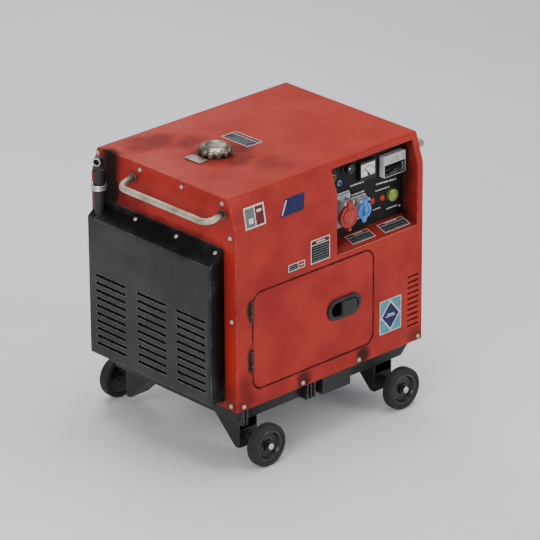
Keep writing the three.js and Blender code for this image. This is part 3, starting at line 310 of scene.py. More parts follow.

# %% [markdown]
# ** Dust and touch.** Dust settles on what faces the sky; on the black end cover the same mask paints the
# dark reflection of its upward slope, partly oily soot. Fine relief, such as the orange peel of sprayed
# enamel or the grain of moulded plastic, goes through one Bump node, on top of edges that the Bevel node
# has rounded: no sheet or casting has a perfectly sharp edge, and a rounded one catches a thin highlight.

# %% Groups: dust with painted reflection, and relief
settled_dust_and_reflection, given, result = start_group(
    "settled dust", {"Scale": 14.0, "Amount": 0.4}, {"Mask": "Float"}
)
surface = put(settled_dust_and_reflection, "NewGeometry")
facing = put(settled_dust_and_reflection, "SeparateXYZ", {"Vector": surface.outputs["Normal"]})
skyward = ramp(settled_dust_and_reflection, facing.outputs["Z"], 0.45, 0.95)
spread = ramp(settled_dust_and_reflection, noise(settled_dust_and_reflection, given["Scale"], 7.0, 0.62), 0.3, 0.72, 0.25, 1.0)
give_mask(settled_dust_and_reflection, maths(settled_dust_and_reflection, "MULTIPLY", skyward, spread), given, result)

relief, given, result = start_group(
    "relief", {"Scale": 600.0, "Depth": 0.00004, "Edge": 0.0008}, {"Normal": "Vector"}
)
rounded = put(relief, "Bevel", {"Radius": given["Edge"]}, samples=4)
bumped = put(
    relief,
    "Bump",
    {
        "Height": noise(relief, given["Scale"], 3.0, 0.55),
        "Distance": given["Depth"],
        "Strength": 1.0,
        "Normal": rounded.outputs["Normal"],
    },
)
relief.links.new(bumped.outputs["Normal"], result["Normal"])
print("relief:", len(relief.nodes), "nodes")

# %% [markdown]
# ## The finishes
# One function mixes a finish from those groups. The colour is built in layers, as a painter would: the
# base, blotches, a lighter rub along edges that is partly a painted highlight, chips down to what lies
# beneath, streaks, grime with painted shade in corners and patches, and dust, which on the end cover is a
# painted dark reflection. The roughness follows the same masks, because dirt is dull and a rubbed edge is
# smoother. Only the numbers differ from one finish to the next.


# %% A finish from layers
def colour(red, green, blue):
    """Screen values from 0 to 255, as the linear colour that a shader wants."""
    share = [v / 255 for v in (red, green, blue)]
    return [v / 12.92 if v <= 0.04045 else ((v + 0.055) / 1.055) ** 2.4 for v in share] + [1.0]


def blend(tree, mask, under, over):
    mixed = put(tree, "Mix", {0: mask}, data_type="RGBA")
    for socket, value in ((mixed.inputs[6], under), (mixed.inputs[7], over)):
        if isinstance(value, bpy.types.NodeSocket):
            tree.links.new(value, socket)
        else:
            socket.default_value = value
    return mixed.outputs[2]


def shared(tree, group, **inputs):
    made = tree.nodes.new("ShaderNodeGroup")
    made.node_tree = group
    for key, value in inputs.items():
        made.inputs[key].default_value = value
    return made.outputs


finishes = {}


def finish(
    name, base, shade, rub_and_highlight, rough=0.4, metal=0.0, shine=0.4, coat=0.0, clear=0.0, blotch=5.0, streaks=0.15,
    wear_and_highlight=0.5, wear_and_highlight_width=0.0016, chips=0.0, under=None,
    grime_and_shade=0.7, grime_and_shade_reach=0.02, grime_and_shade_colour=(32, 24, 20), dirt_rough=0.25, stain_and_shade_patches=(), gap=None,
    dust_and_dark_reflection=0.25, dust_and_reflection_colour=(150, 132, 118), dust_rough=0.4, grain=600.0, depth=0.00004, edge=0.0008,
):
    """base, shade and the edge colour are the colour, its darker blotches and its lighter edges, the
    last partly a painted highlight, in screen values.

    The patch list gives (place, size, strength) in canopy millimetres for spilt fuel, oil and painted
    shade, and gap outlines a gap to be lined.
    """
    material = bpy.data.materials.new(name)
    material.use_nodes = True
    tree = material.node_tree
    shader = tree.nodes["Principled BSDF"]
    marks = shared(tree, weather, Scale=blotch)
    tone = blend(tree, marks["Blotch"], colour(*base), colour(*shade))
    # Lighter edges: partly wear, partly a painted highlight.
    rubbed_and_lit = shared(tree, edge_wear_and_highlight, Radius=wear_and_highlight_width, Amount=wear_and_highlight, Scale=60.0)["Mask"]
    tone = blend(tree, rubbed_and_lit, tone, colour(*rub_and_highlight))
    if chips:
        chipped = shared(tree, edge_wear_and_highlight, Radius=wear_and_highlight_width * 0.8, Amount=chips, Scale=260.0)["Mask"]
        chipped = ramp(tree, chipped, 0.3, 0.45)
        tone = blend(tree, chipped, tone, colour(*under))
    ran = maths(tree, "MULTIPLY", marks["Streak"], streaks)
    tone = blend(tree, ran, tone, colour(*grime_and_shade_colour))
    # Upward faces gather dust; on the end cover the near-black layer is a painted dark reflection, partly
    # oily soot.
    dust_and_reflection_mask = shared(tree, settled_dust_and_reflection, Amount=dust_and_dark_reflection)["Mask"]
    tone = blend(tree, dust_and_reflection_mask, tone, colour(*dust_and_reflection_colour))
    # Occlusion darkening: partly grime, partly painted shade where corners, seams and recesses are shut in.
    dirt_and_shade = shared(tree, corner_grime_and_shade, Distance=grime_and_shade_reach, Amount=grime_and_shade)["Mask"]
    # Patches add spilt fuel and oil, and paint shade and shadow where they are listed.
    for spot, size, strength in stain_and_shade_patches:
        stained_and_shaded = shared(
            tree, stain_and_shade, Centre=at(*spot), Size=[v / 1000 for v in size], Amount=strength
        )["Mask"]
        dirt_and_shade = maths(tree, "MAXIMUM", dirt_and_shade, stained_and_shaded)
    if gap:
        dirt_and_shade = maths(tree, "MAXIMUM", dirt_and_shade, shared(tree, gap_line, **gap)["Mask"])
    tone = blend(tree, dirt_and_shade, tone, colour(*grime_and_shade_colour))
    tree.links.new(tone, shader.inputs["Base Color"])
    matt = maths(tree, "MULTIPLY_ADD", marks["Blotch"], 0.14)
    matt.node.inputs[2].default_value = rough - 0.05
    matt = maths(tree, "ADD", matt, maths(tree, "MULTIPLY", marks["Fine"], 0.06))
    matt = maths(tree, "ADD", matt, maths(tree, "MULTIPLY", dirt_and_shade, dirt_rough))
    matt = maths(tree, "ADD", matt, maths(tree, "MULTIPLY", dust_and_reflection_mask, dust_rough), clamp=True)
    tree.links.new(matt, shader.inputs["Roughness"])
    normal = shared(tree, relief, Scale=grain, Depth=depth, Edge=edge)["Normal"]
    tree.links.new(normal, shader.inputs["Normal"])
    shader.inputs["Metallic"].default_value = metal
    shader.inputs["Specular IOR Level"].default_value = shine
    shader.inputs["Coat Weight"].default_value = coat
    shader.inputs["Coat Roughness"].default_value = 0.15
    if clear:
        shader.inputs["Transmission Weight"].default_value = clear
    finishes[name] = material


# %% [markdown]
# ** Sheet and chassis.** The canopy is satin red enamel: flat areas are slightly dull, edges are rubbed to
# a lighter red that is partly a painted highlight, and seams are dark with dirt and painted shade. The
# console's recess is the same paint, a little darker as painted shade. The tray, legs and engine frame are
# satin black and the end cover a dark grey, with edges rubbed paler, partly as painted highlights.

# %% Where dirt gathers and shade is painted on the canopy
DOOR_X, DOOR_Z, DOOR_CORNER = (55.0, 460.0), (44.0, 297.0), 28.0
CAP_X, CAP_Y = 177.0, 262.0
PIPE_X, PIPE_Y = -25.0, 463.0
HANDLE_ENDS, HANDLE_LEVEL = (42.0, 363.0), 511.0
spilt_fuel = [
    ((CAP_X, CAP_Y, HEIGHT), (76, 72, 20), 1.0),
    ((CAP_X + 45, CAP_Y - 10, HEIGHT), (66, 50, 20), 0.6),
    ((CAP_X + 16, CAP_Y - 66, HEIGHT), (66, 48, 20), 0.52),
    ((CAP_X + 52, CAP_Y - 142, HEIGHT), (60, 62, 20), 0.36),
    ((CAP_X + 5, CAP_Y + 97, HEIGHT), (58, 44, 20), 0.44),
    ((CAP_X - 66, CAP_Y + 164, HEIGHT), (88, 62, 20), 0.42),
]
foot_screw_oil = ((226, 0.8), (424, 0.9), (612, 0.5))
oil_stains_and_dark_patches = [((x, 0, 14), (34, 20, 34), strength) for x, strength in foot_screw_oil]
oil_stains_and_dark_patches += [((28, 0, 30), (34, 20, 80), 0.4), ((0, 40, 30), (20, 60, 70), 0.5)]
# Beside the two door hinges the door side is made darker.
oil_stains_and_dark_patches += [((46, 0, z), (13, 20, 44), 0.95) for z in (122, 254)]
oil_stains_and_dark_patches += [((0, y, HANDLE_LEVEL), (20, 24, 20), 0.55) for y in HANDLE_ENDS]
# By the exhaust these patches paint its shadow on the end plate, partly soot; the band at 418 is the end
# cover's painted shadow.
soot_and_shadow = [((0, PIPE_Y - 14, 480), (30, 46, 190), 1.0), ((0, 262, 418), (12, 300, 22), 0.6)]
soot_and_shadow += [((0, PIPE_Y - 60, 430), (30, 90, 60), 0.55)]
door_gap = {
    "Centre": at(sum(DOOR_X) / 2, 0, sum(DOOR_Z) / 2),
    "Half": [(DOOR_X[1] - DOOR_X[0] + 2.5) / 2000, 1.0, (DOOR_Z[1] - DOOR_Z[0] + 2.5) / 2000],
    "Corner": (DOOR_CORNER + 1.2) / 1000,
    "Width": 0.0055,
    "Amount": 0.85,
}
print(len(spilt_fuel + oil_stains_and_dark_patches + soot_and_shadow), "stains placed")

# %% Painted finishes
finish(
    "canopy_red", (172, 40, 30), (145, 31, 26), (210, 98, 80),
    rough=0.46, wear_and_highlight=0.85, wear_and_highlight_width=0.0028, chips=0.25, under=(200, 140, 122), grime_and_shade=0.95,
    grime_and_shade_reach=0.03, grime_and_shade_colour=(28, 14, 11), dust_and_dark_reflection=0.7, dust_and_reflection_colour=(166, 42, 12), dust_rough=0.04,
    streaks=0.12, blotch=8.0, depth=0.00003, shine=0.22,
    stain_and_shade_patches=spilt_fuel + oil_stains_and_dark_patches + soot_and_shadow, gap=door_gap,
)
# The recess red is the canopy red made darker as painted shade, with wide painted shade in its corners.
finish(
    "recess_red_painted_shade", (152, 37, 30), (126, 30, 25), (206, 100, 84),
    rough=0.42, wear_and_highlight=0.95, wear_and_highlight_width=0.0028, grime_and_shade=1.0, grime_and_shade_reach=0.06, grime_and_shade_colour=(14, 7, 6),
    dust_and_dark_reflection=0.3, dust_and_reflection_colour=(142, 42, 28), dust_rough=0.04, streaks=0.12, blotch=8.0, shine=0.3,
    # This patch paints shade on the recess's right wall.
    stain_and_shade_patches=[((609, 42, 440), (14, 38, 200), 0.8)],
)
finish(
    "tray_black", (30, 30, 30), (22, 22, 22), (120, 120, 115),
    rough=0.46, wear_and_highlight=0.6, wear_and_highlight_width=0.003, chips=0.6, under=(150, 150, 144), grime_and_shade=0.7,
    grime_and_shade_reach=0.05, grime_and_shade_colour=(12, 12, 11), dust_and_dark_reflection=0.3, dust_and_reflection_colour=(48, 46, 42), streaks=0.1,
)
finish(
    "chassis_black", (63, 63, 61), (52, 52, 50), (158, 158, 152),
    rough=0.46, shine=0.15, wear_and_highlight=0.75, wear_and_highlight_width=0.003, chips=0.8, under=(170, 170, 164), grime_and_shade=0.7,
    # Its wide corner reach paints shade, and its near-black dust paints the slope's dark reflection, partly
    # oily soot.
    grime_and_shade_reach=0.05, grime_and_shade_colour=(7, 7, 6), dust_and_dark_reflection=1.0, dust_and_reflection_colour=(9, 9, 7), dust_rough=-0.1,
    dirt_rough=-0.12, streaks=0.1,
    # The first patch paints shade on the cover's side wall, partly grime; the second a dark reflection on its
    # slope.
    stain_and_shade_patches=[((-10, 41, 215), (60, 18, 330), 1.0), ((-22, 262, 403), (46, 340, 40), 1.0)],
)
finish(
    "panel_black", (17, 17, 19), (13, 13, 15), (64, 64, 66),
    rough=0.5, shine=0.25, wear_and_highlight=0.3, grime_and_shade=0.3, dust_and_dark_reflection=0.05, streaks=0.03, grain=1500.0, depth=0.00005,
)
finish(
    "engine_frame", (38, 40, 42), (28, 29, 31), (110, 110, 108),
    rough=0.55, wear_and_highlight=0.5, grime_and_shade=0.8, grime_and_shade_reach=0.04, dust_and_dark_reflection=0.35, streaks=0.2,
)
print("painted:", ", ".join(finishes))

# %% [markdown]
# ** Bare metals.** Plated tube and pressed steel are true metals, so their base colour is the colour of
# their reflection. Age shows as warm blotches and as grime that never quite comes off, darkened together
# with painted shade in corners, so the roughness changes from place to place more than the colour does.

# %% Metal finishes
rusty_ends = [((0, y, HANDLE_LEVEL), (34, 24, 22), 1.0) for y in HANDLE_ENDS]
rusty_ends += [((LENGTH, WIDTH - y, HANDLE_LEVEL), (34, 24, 22), 1.0) for y in HANDLE_ENDS]
finish(
    "tube_steel", (212, 204, 182), (150, 138, 112), (240, 238, 226),
    rough=0.4, metal=0.6, wear_and_highlight=0.4, grime_and_shade=0.5, grime_and_shade_reach=0.02, grime_and_shade_colour=(54, 38, 28),
    dust_and_dark_reflection=0.1, dust_and_reflection_colour=(170, 160, 138), streaks=0.1, blotch=22.0, depth=0.00002, stain_and_shade_patches=rusty_ends,
)
finish(
    "cap_nickel", (166, 158, 146), (100, 90, 78), (236, 230, 218),
    rough=0.26, metal=0.85, wear_and_highlight=0.9, wear_and_highlight_width=0.0025, grime_and_shade=1.0, grime_and_shade_reach=0.02,
    grime_and_shade_colour=(26, 19, 15), dust_and_dark_reflection=0.2, dust_and_reflection_colour=(118, 112, 92), streaks=0.1, blotch=26.0,
)
finish(
    "screw_zinc", (228, 204, 196), (184, 156, 148), (248, 236, 230),
    rough=0.3, metal=0.5, wear_and_highlight=0.5, wear_and_highlight_width=0.001, grime_and_shade=0.8, grime_and_shade_reach=0.004,
    dust_and_dark_reflection=0.05, streaks=0.0, blotch=120.0,
)
finish(
    "clamp_steel", (220, 220, 218), (170, 168, 164), (246, 246, 244),
    rough=0.26, metal=0.7, wear_and_highlight=0.6, grime_and_shade=0.6, grime_and_shade_reach=0.006, dust_and_dark_reflection=0.05, streaks=0.0, blotch=60.0,
)
finish(
    "exhaust_iron", (42, 42, 44), (58, 52, 48), (150, 148, 144),
    rough=0.46, metal=0.3, wear_and_highlight=0.7, wear_and_highlight_width=0.002, grime_and_shade=0.5, dust_and_dark_reflection=0.1, streaks=0.2, blotch=20.0,
)
finish(
    "engine_alloy", (150, 152, 154), (112, 112, 112), (206, 206, 206),
    rough=0.5, metal=0.75, wear_and_highlight=0.4, grime_and_shade=0.95, grime_and_shade_reach=0.03, grime_and_shade_colour=(30, 26, 22),
    dust_and_dark_reflection=0.2, grain=900.0, depth=0.00018, blotch=18.0,
)
finish(
    "shaft_iron", (112, 112, 114), (84, 82, 80), (180, 180, 180),
    rough=0.35, metal=0.9, wear_and_highlight=0.4, grime_and_shade=0.8, dust_and_dark_reflection=0.1, blotch=24.0,
)
finish(
    "brass", (196, 158, 84), (150, 116, 58), (232, 206, 140),
    rough=0.32, metal=0.95, wear_and_highlight=0.5, grime_and_shade=0.8, grime_and_shade_reach=0.006, dust_and_dark_reflection=0.05, blotch=90.0,
)
print(len(finishes), "finishes so far")

# %% [markdown]
# ** Rubber and plastic.** Tyres are matt, with a little grey dust on their upper faces. The hubs, the latch
# and the knobs are moulded, with a fine grain and a soft sheen. The sockets are grey, their lids have the
# trade colours, and the big start button is a translucent yellow-green lens.

# %% Moulded finishes
finish(
    "tyre_rubber", (34, 35, 36), (27, 27, 28), (66, 66, 66),
    rough=0.62, wear_and_highlight=0.4, wear_and_highlight_width=0.003, grime_and_shade=0.4, dust_and_dark_reflection=0.3, dust_and_reflection_colour=(88, 84, 78),
    streaks=0.0, grain=900.0, depth=0.00008, blotch=30.0,
)
finish(
    "hub_black", (20, 20, 21), (14, 14, 15), (60, 60, 60),
    rough=0.24, wear_and_highlight=0.25, grime_and_shade=0.3, grime_and_shade_reach=0.01, dust_and_dark_reflection=0.1, streaks=0.0, coat=0.35, blotch=30.0,
)
finish(
    "black_plastic", (26, 26, 28), (20, 20, 21), (92, 92, 92),
    rough=0.38, wear_and_highlight=0.45, wear_and_highlight_width=0.0014, grime_and_shade=0.4, grime_and_shade_reach=0.01, dust_and_dark_reflection=0.12, streaks=0.0,
    grain=1600.0, depth=0.00003, blotch=30.0,
)
finish(
    "grey_plastic", (200, 200, 204), (178, 178, 182), (232, 232, 234),
    rough=0.42, wear_and_highlight=0.4, grime_and_shade=0.8, grime_and_shade_reach=0.008, dust_and_dark_reflection=0.05, streaks=0.05,
    grain=1400.0, blotch=40.0,
)
finish(
    "red_plastic", (176, 30, 22), (148, 24, 18), (214, 96, 78),
    rough=0.3, wear_and_highlight=0.25, grime_and_shade=0.75, grime_and_shade_reach=0.008, dust_and_dark_reflection=0.05, streaks=0.0, blotch=50.0, coat=0.2,
)
finish(
    "blue_plastic", (74, 140, 218), (56, 116, 196), (160, 200, 236),
    rough=0.3, wear_and_highlight=0.3, grime_and_shade=0.75, grime_and_shade_reach=0.008, dust_and_dark_reflection=0.05, streaks=0.0, blotch=50.0, coat=0.2,
)
finish(
    "green_lens", (146, 168, 62), (120, 142, 48), (190, 206, 120),
    rough=0.2, wear_and_highlight=0.3, grime_and_shade=0.6, grime_and_shade_reach=0.005, dust_and_dark_reflection=0.05, streaks=0.0, blotch=60.0,
    coat=0.5, clear=0.25,
)
# Near black for dark insides: painted shade behind slots, in the breaker's window and down the exhaust's
# bore.
finish(
    "dark_void", (9, 9, 9), (6, 6, 6), (16, 16, 16),
    rough=0.85, wear_and_highlight=0.1, grime_and_shade=0.2, dust_and_dark_reflection=0.15, dust_and_reflection_colour=(40, 38, 36), streaks=0.0, blotch=40.0,
)
print(len(finishes), "finishes so far")

# %% [markdown]
# **Printed films.** A label is thin ink on a thin sheet, so it has no grain of its own, only a slightly
# glossy face with dulled corners. One short function makes an ink of each colour.


# %% Inks
def ink(name, base, rough=0.38, grime_and_shade=0.35):
    darker = [v * 0.86 for v in base]
    paler = [v + (255 - v) * 0.25 for v in base]
    finish(
        name, base, darker, paler,
        rough=rough, wear_and_highlight=0.2, grime_and_shade=grime_and_shade, grime_and_shade_reach=0.004, dust_and_dark_reflection=0.03, streaks=0.05, shine=0.2,
        grain=300.0, depth=0.00001, edge=0.0001, blotch=70.0,
    )


ink("ink_white", (224, 222, 218))
ink("ink_black", (28, 28, 30))
ink("ink_grey", (104, 108, 111))
ink("ink_maroon", (100, 14, 26))
ink("ink_red", (176, 34, 36))
ink("ink_navy", (26, 22, 88))
ink("ink_blue", (20, 22, 78))
ink("ink_teal", (84, 150, 162))
# A paler ink for the painted highlight along the console's front edge.
ink("edge_highlight_ink", (206, 122, 106))
ink("dial_face", (244, 243, 238), rough=0.5, grime_and_shade=0.2)
print(len(finishes), "finishes in all")

# %% [markdown]
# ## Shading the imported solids
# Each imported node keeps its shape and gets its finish. Its turned surfaces are facets, so the flat shading
# is smoothed wherever two faces meet at a small angle, and kept crisp at real edges. A Weld modifier first
# joins the loose corners, a small geometry graph marks the sharp edges, and a Weighted Normal modifier
# keeps the large panels flat right up to their bends.

# %% Smooth by angle, as a modifier
SHARP = math.radians(33)
crisp = bpy.data.node_groups.new("smooth below an angle", "GeometryNodeTree")
crisp.interface.new_socket("Geometry", in_out="INPUT", socket_type="NodeSocketGeometry")
crisp.interface.new_socket("Geometry", in_out="OUTPUT", socket_type="NodeSocketGeometry")
enter, leave = crisp.nodes.new("NodeGroupInput"), crisp.nodes.new("NodeGroupOutput")
fold = crisp.nodes.new("GeometryNodeInputMeshEdgeAngle")
shallow = crisp.nodes.new("FunctionNodeCompare")
shallow.operation = "LESS_THAN"
shallow.inputs["B"].default_value = SHARP
edges = crisp.nodes.new("GeometryNodeSetShadeSmooth")
edges.domain = "EDGE"
faces = crisp.nodes.new("GeometryNodeSetShadeSmooth")
faces.domain = "FACE"
crisp.links.new(enter.outputs[0], edges.inputs["Geometry"])
crisp.links.new(fold.outputs["Unsigned Angle"], shallow.inputs["A"])
crisp.links.new(shallow.outputs["Result"], edges.inputs["Shade Smooth"])
crisp.links.new(edges.outputs["Geometry"], faces.inputs["Geometry"])
crisp.links.new(faces.outputs["Geometry"], leave.inputs[0])


def shade_softly(piece, weld=False):
    if weld:
        stored = piece.data.attributes.get("custom_normal")
        if stored is not None:
            piece.data.attributes.remove(stored)
        joined = piece.modifiers.new("weld", "WELD")
        joined.merge_threshold = 0.000002
    smooth = piece.modifiers.new("smooth", "NODES")
    smooth.node_group = crisp
    even = piece.modifiers.new("even", "WEIGHTED_NORMAL")
    even.keep_sharp = True
    even.weight = 60


# %% Which node wears which finish
WEARS = {
    "canopy_red": "front_panel rear_panel left_end_panel right_end_panel roof_panel door_panel",
    "recess_red_painted_shade": "console_tub",
    "tray_black": "base_tray leg_front_left leg_front_right leg_rear_left leg_rear_right "
    "hinge_leaf_lower hinge_leaf_upper door_hinge_lower door_hinge_upper",
    "chassis_black": "end_cover",
    "engine_frame": "engine_rails flywheel_shroud fuel_tank",
    "panel_black": "control_plate",
    "tyre_rubber": "tyre_front_left tyre_front_right tyre_rear_left tyre_rear_right cap_gasket",
    "hub_black": "rim_front_left rim_front_right rim_rear_left rim_rear_right",
    "tube_steel": "handle_left handle_right",
    "cap_nickel": "fuel_cap fuel_gauge",
    "clamp_steel": "exhaust_clamp latch_bolt",
    "exhaust_iron": "exhaust_pipe muffler",
    "engine_alloy": "engine_block cylinder_head generator_housing",
    "shaft_iron": "crankshaft generator_rotor",
    "black_plastic": "latch_body latch_paddle current_knob panel_meter weld_socket_positive "
    "weld_socket_negative battery air_cleaner breaker_lever",
    "grey_plastic": "breaker_case red_socket blue_socket",
    "red_plastic": "red_socket_lid red_button_left red_button_right",
    "blue_plastic": "blue_socket_lid",
    "green_lens": "green_button",
}
for finish_name, names in WEARS.items():
    for name in names.split():
        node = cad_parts[name]
        node.data.materials.clear()
        node.data.materials.append(finishes[finish_name])
        shade_softly(node, weld=True)
dressed = sum(len(names.split()) for names in WEARS.values())
print(dressed, "of", len(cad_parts), "nodes dressed")

# %% [markdown]
# ## Tools for new pieces
# New pieces are meshes built from a few shapes: a profile spun about an axis, an outline pushed to a
# thickness, and a round section carried along a bent line. Every shape goes into one mesh in canopy
# millimetres. When the piece is done, it is moved into the scene and set to ride on its body.


# %% Mesh tools
def canopy_piece(name, mesh, body, inks, sharp=33.0, bevel=0.0):
    """Ends a mesh: moves it into the scene, gives it its finishes and lets it ride on a body."""
    mesh.transform(Matrix.Scale(0.001, 4) @ Matrix.Translation(CORNER))
    bmesh.ops.recalc_face_normals(mesh, faces=mesh.faces[:])
    data = bpy.data.meshes.new(name)
    mesh.to_mesh(data)
    mesh.free()
    for label in inks.split():
        data.materials.append(finishes[label])
    piece = bpy.data.objects.new(name, data)
    bpy.context.scene.collection.objects.link(piece)
    if bevel:
        soften = piece.modifiers.new("bevel", "BEVEL")
        soften.width = bevel / 1000
        soften.segments = 2
        soften.limit_method = "ANGLE"
        soften.angle_limit = math.radians(40)
    data.shade_smooth()
    data.set_sharp_from_angle(angle=math.radians(sharp))
    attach(piece, body)
    return piece


ALONG = {"x": Vector((1, 0, 0)), "y": Vector((0, 1, 0)), "z": Vector((0, 0, 1))}


def spin(mesh, profile, axis, centre, steps=48, ink_index=0):
    """Turns a closed profile of (radius, place along the axis) about an axis through the centre."""
    along = ALONG[axis] if isinstance(axis, str) else Vector(axis).normalized()
    side = along.orthogonal().normalized()
    other = along.cross(side)
    centre = Vector(centre)
    rings = []
    for radius, distance in profile:
        middle = centre + along * distance
        if radius < 1e-6:
            rings.append([mesh.verts.new(middle)])
            continue
        ring = []
        for i in range(steps):
            angle = 2 * math.pi * i / steps
            outward = side * math.cos(angle) + other * math.sin(angle)
            ring.append(mesh.verts.new(middle + outward * radius))
        rings.append(ring)
    for ring, following in zip(rings, rings[1:] + rings[:1]):
        if len(ring) == 1 and len(following) == 1:
            continue
        for i in range(steps):
            j = (i + 1) % steps
            corners = [ring[i % len(ring)], ring[j % len(ring)]]
            corners += [following[j % len(following)], following[i % len(following)]]
            unique = list(dict.fromkeys(corners))
            mesh.faces.new(unique).material_index = ink_index


def rounded(across, up, radius, steps=5):
    """A rectangle's outline with round corners, anticlockwise."""
    (u0, u1), (v0, v1) = across, up
    centres = [(u1 - radius, v0 + radius), (u1 - radius, v1 - radius)]
    centres += [(u0 + radius, v1 - radius), (u0 + radius, v0 + radius)]
    outline = []
    for quarter, (u, v) in enumerate(centres):
        for i in range(steps + 1):
            angle = math.pi / 2 * (quarter - 1 + i / steps)
            outline.append((u + radius * math.cos(angle), v + radius * math.sin(angle)))
    return outline


def push(mesh, outline, axis, start, end, ink_index=0):
    """Gives a flat outline a thickness along an axis."""
    lift = {
        "y": lambda u, v, w: (u, w, v),
        "z": lambda u, v, w: (u, v, w),
    }[axis]
    under = [mesh.verts.new(lift(u, v, start)) for u, v in outline]
    over = [mesh.verts.new(lift(u, v, end)) for u, v in outline]
    made = [mesh.faces.new(under), mesh.faces.new(over)]
    for i in range(len(outline)):
        j = (i + 1) % len(outline)
        made.append(mesh.faces.new((under[i], under[j], over[j], over[i])))
    for face in made:
        face.material_index = ink_index


def brick(mesh, across, deep, up, ink_index=0):
    (x0, x1), (y0, y1) = across, deep
    push(mesh, [(x0, y0), (x1, y0), (x1, y1), (x0, y1)], "z", *up, ink_index=ink_index)


def turned(mesh, profile, spot, steps, ink_index=0):
    """Spins a profile about an axis that runs straight into the door side, at a spot (x, z) on it."""
    spin(mesh, profile, "y", (spot[0], 0, spot[1]), steps, ink_index)


def far_side(mesh):
    """Turns a mesh half round the canopy's upright centre line, to the rear and the other end."""
    middle = Matrix.Translation((LENGTH / 2, WIDTH / 2, 0))
    mesh.transform(middle @ Matrix.Rotation(math.pi, 4, "Z") @ middle.inverted())


trial = bmesh.new()
spin(trial, [(0, 0), (5, 0), (5, 4), (0, 4)], "z", (0, 0, 0), 12)
print("a trial disc has", len(trial.faces), "faces")
trial.free()

# %% [markdown]
# ## Wheels
# A fixed wheel here is a solid rubber tyre pressed on a moulded hub, with a plated cap over the axle's end.
# The tyre's section has rounded shoulders and a shallow step on each sidewall; the hub is a deep dish with
# rings that catch the light. Turned with many steps, they stand in for the plainer imported wheels.

# %% Tyres, hubs and axle caps
WHEEL_X = {"left": 84.0, "right": 548.0}
WHEEL_Y, AXLE_END_Y, AXLE_HEIGHT = -13.0, -31.2, -107.0
TYRE_HALF = [
    (38.2, 10.5), (41.2, 11.2), (42.0, 13.6), (44.0, 14.8), (46.5, 15.0), (47.6, 14.3), (50.0, 14.2),
    (52.4, 12.9), (54.0, 10.6), (54.8, 7.5), (55.0, 3.0),
]
TYRE = [(radius, -across) for radius, across in TYRE_HALF] + TYRE_HALF[::-1]
HUB = [
    (7.4, -11.0), (9.0, -12.4), (12.4, -12.4), (13.6, -11.4), (14.6, -4.6), (16.0, -3.4), (21.5, -3.2),
    (22.4, -4.4), (24.4, -4.4), (25.4, -3.2), (29.6, -3.4), (31.4, -5.0), (33.4, -11.6), (35.2, -13.2),
    (39.6, -13.2), (41.0, -12.4), (41.0, -11.4), (37.9, -11.0), (37.9, 11.0), (41.0, 11.4), (41.0, 12.4),
    (39.4, 13.2), (16.0, 13.2), (14.0, 14.6), (7.4, 14.6),
]
AXLE_CAP = [(0, -2.6), (3.0, -2.5), (6.4, -2.0), (8.0, -0.9), (8.6, 0.4), (8.6, 1.6), (0, 1.6)]


def wheel_piece(name, profile, x, y, steps, body, look, rear):
    mesh = bmesh.new()
    spin(mesh, profile, "y", (LENGTH - x if rear else x, y, AXLE_HEIGHT), steps)
    if rear:
        far_side(mesh)
    return canopy_piece(name, mesh, body, look)


for side in ("front", "rear"):
    for end, x in WHEEL_X.items():
        for kind, profile, look in (("tyre", TYRE, "tyre_rubber"), ("rim", HUB, "hub_black")):
            name = f"{kind}_turned_{side}_{end}"
            body = f"wheel_{side}_{end}"
            piece = wheel_piece(name, profile, x, WHEEL_Y, 72, body, look, side == "rear")
            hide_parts(f"{kind}_{side}_{end}")
        name = f"axle_cap_{side}_{end}"
        wheel_piece(name, AXLE_CAP, x, AXLE_END_Y, 40, "canopy", "clamp_steel", side == "rear")
print("four wheels, each a tyre, a hub and an axle cap")

# %% [markdown]
# ## Bent tubes
# The lifting handles and the exhaust are round tube, bent on a former. A tube is a ring of points carried
# along a line; at a bend the line follows an arc, so the ring turns a little at every step. The handle's
# ends sit in washers on the end plate.


# %% Tubes along a bent line
def arc_line(points, radius, steps=10):
    """The corners of an open line in space, each replaced by an arc of the given radius."""
    corners = [Vector(point) for point in points]
    line = [corners[0]]
    for before, here, after in zip(corners, corners[1:], corners[2:]):
        arriving, leaving = (here - before).normalized(), (after - here).normalized()
        turn = arriving.angle(leaving)
        reach = radius * math.tan(turn / 2)
        start = here - arriving * reach
        inward = (leaving - arriving * math.cos(turn)).normalized()
        for i in range(steps + 1):
            swing = turn * i / steps
            ahead = arriving * radius * math.sin(swing)
            line.append(start + ahead + inward * radius * (1 - math.cos(swing)))
    line.append(corners[-1])
    return line


def tube(mesh, line, radius, steps):
    """A round section carried along a line."""
    forward = (line[1] - line[0]).normalized()
    side = forward.orthogonal().normalized()
    rings = []
    for i, point in enumerate(line):
        ahead = line[min(i + 1, len(line) - 1)] - line[max(i - 1, 0)]
        side = forward.rotation_difference(ahead.normalized()) @ side
        forward = ahead.normalized()
        other = forward.cross(side)
        rings.append(
            [
                mesh.verts.new(point + (side * math.cos(a) + other * math.sin(a)) * radius)
                for a in (2 * math.pi * k / steps for k in range(steps))
            ]
        )
    for ring, following in zip(rings, rings[1:]):
        for k in range(steps):
            j = (k + 1) % steps
            mesh.faces.new((ring[k], ring[j], following[j], following[k]))
    for ring in (rings[0], rings[-1]):
        mesh.faces.new(ring)


# %% Lifting handles
TUBE_RADIUS, TUBE_BEND, HANDLE_OUT, HANDLE_DROP = 8.2, 26.0, 50, 11
WASHER = [(8.0, 0.4), (12.0, 0.4), (12.4, 1.2), (12.0, 3.2), (11.0, 4.0), (8.0, 4.0)]
WASHER_LEVEL, TUBE_GAP = 510.6, 0.4


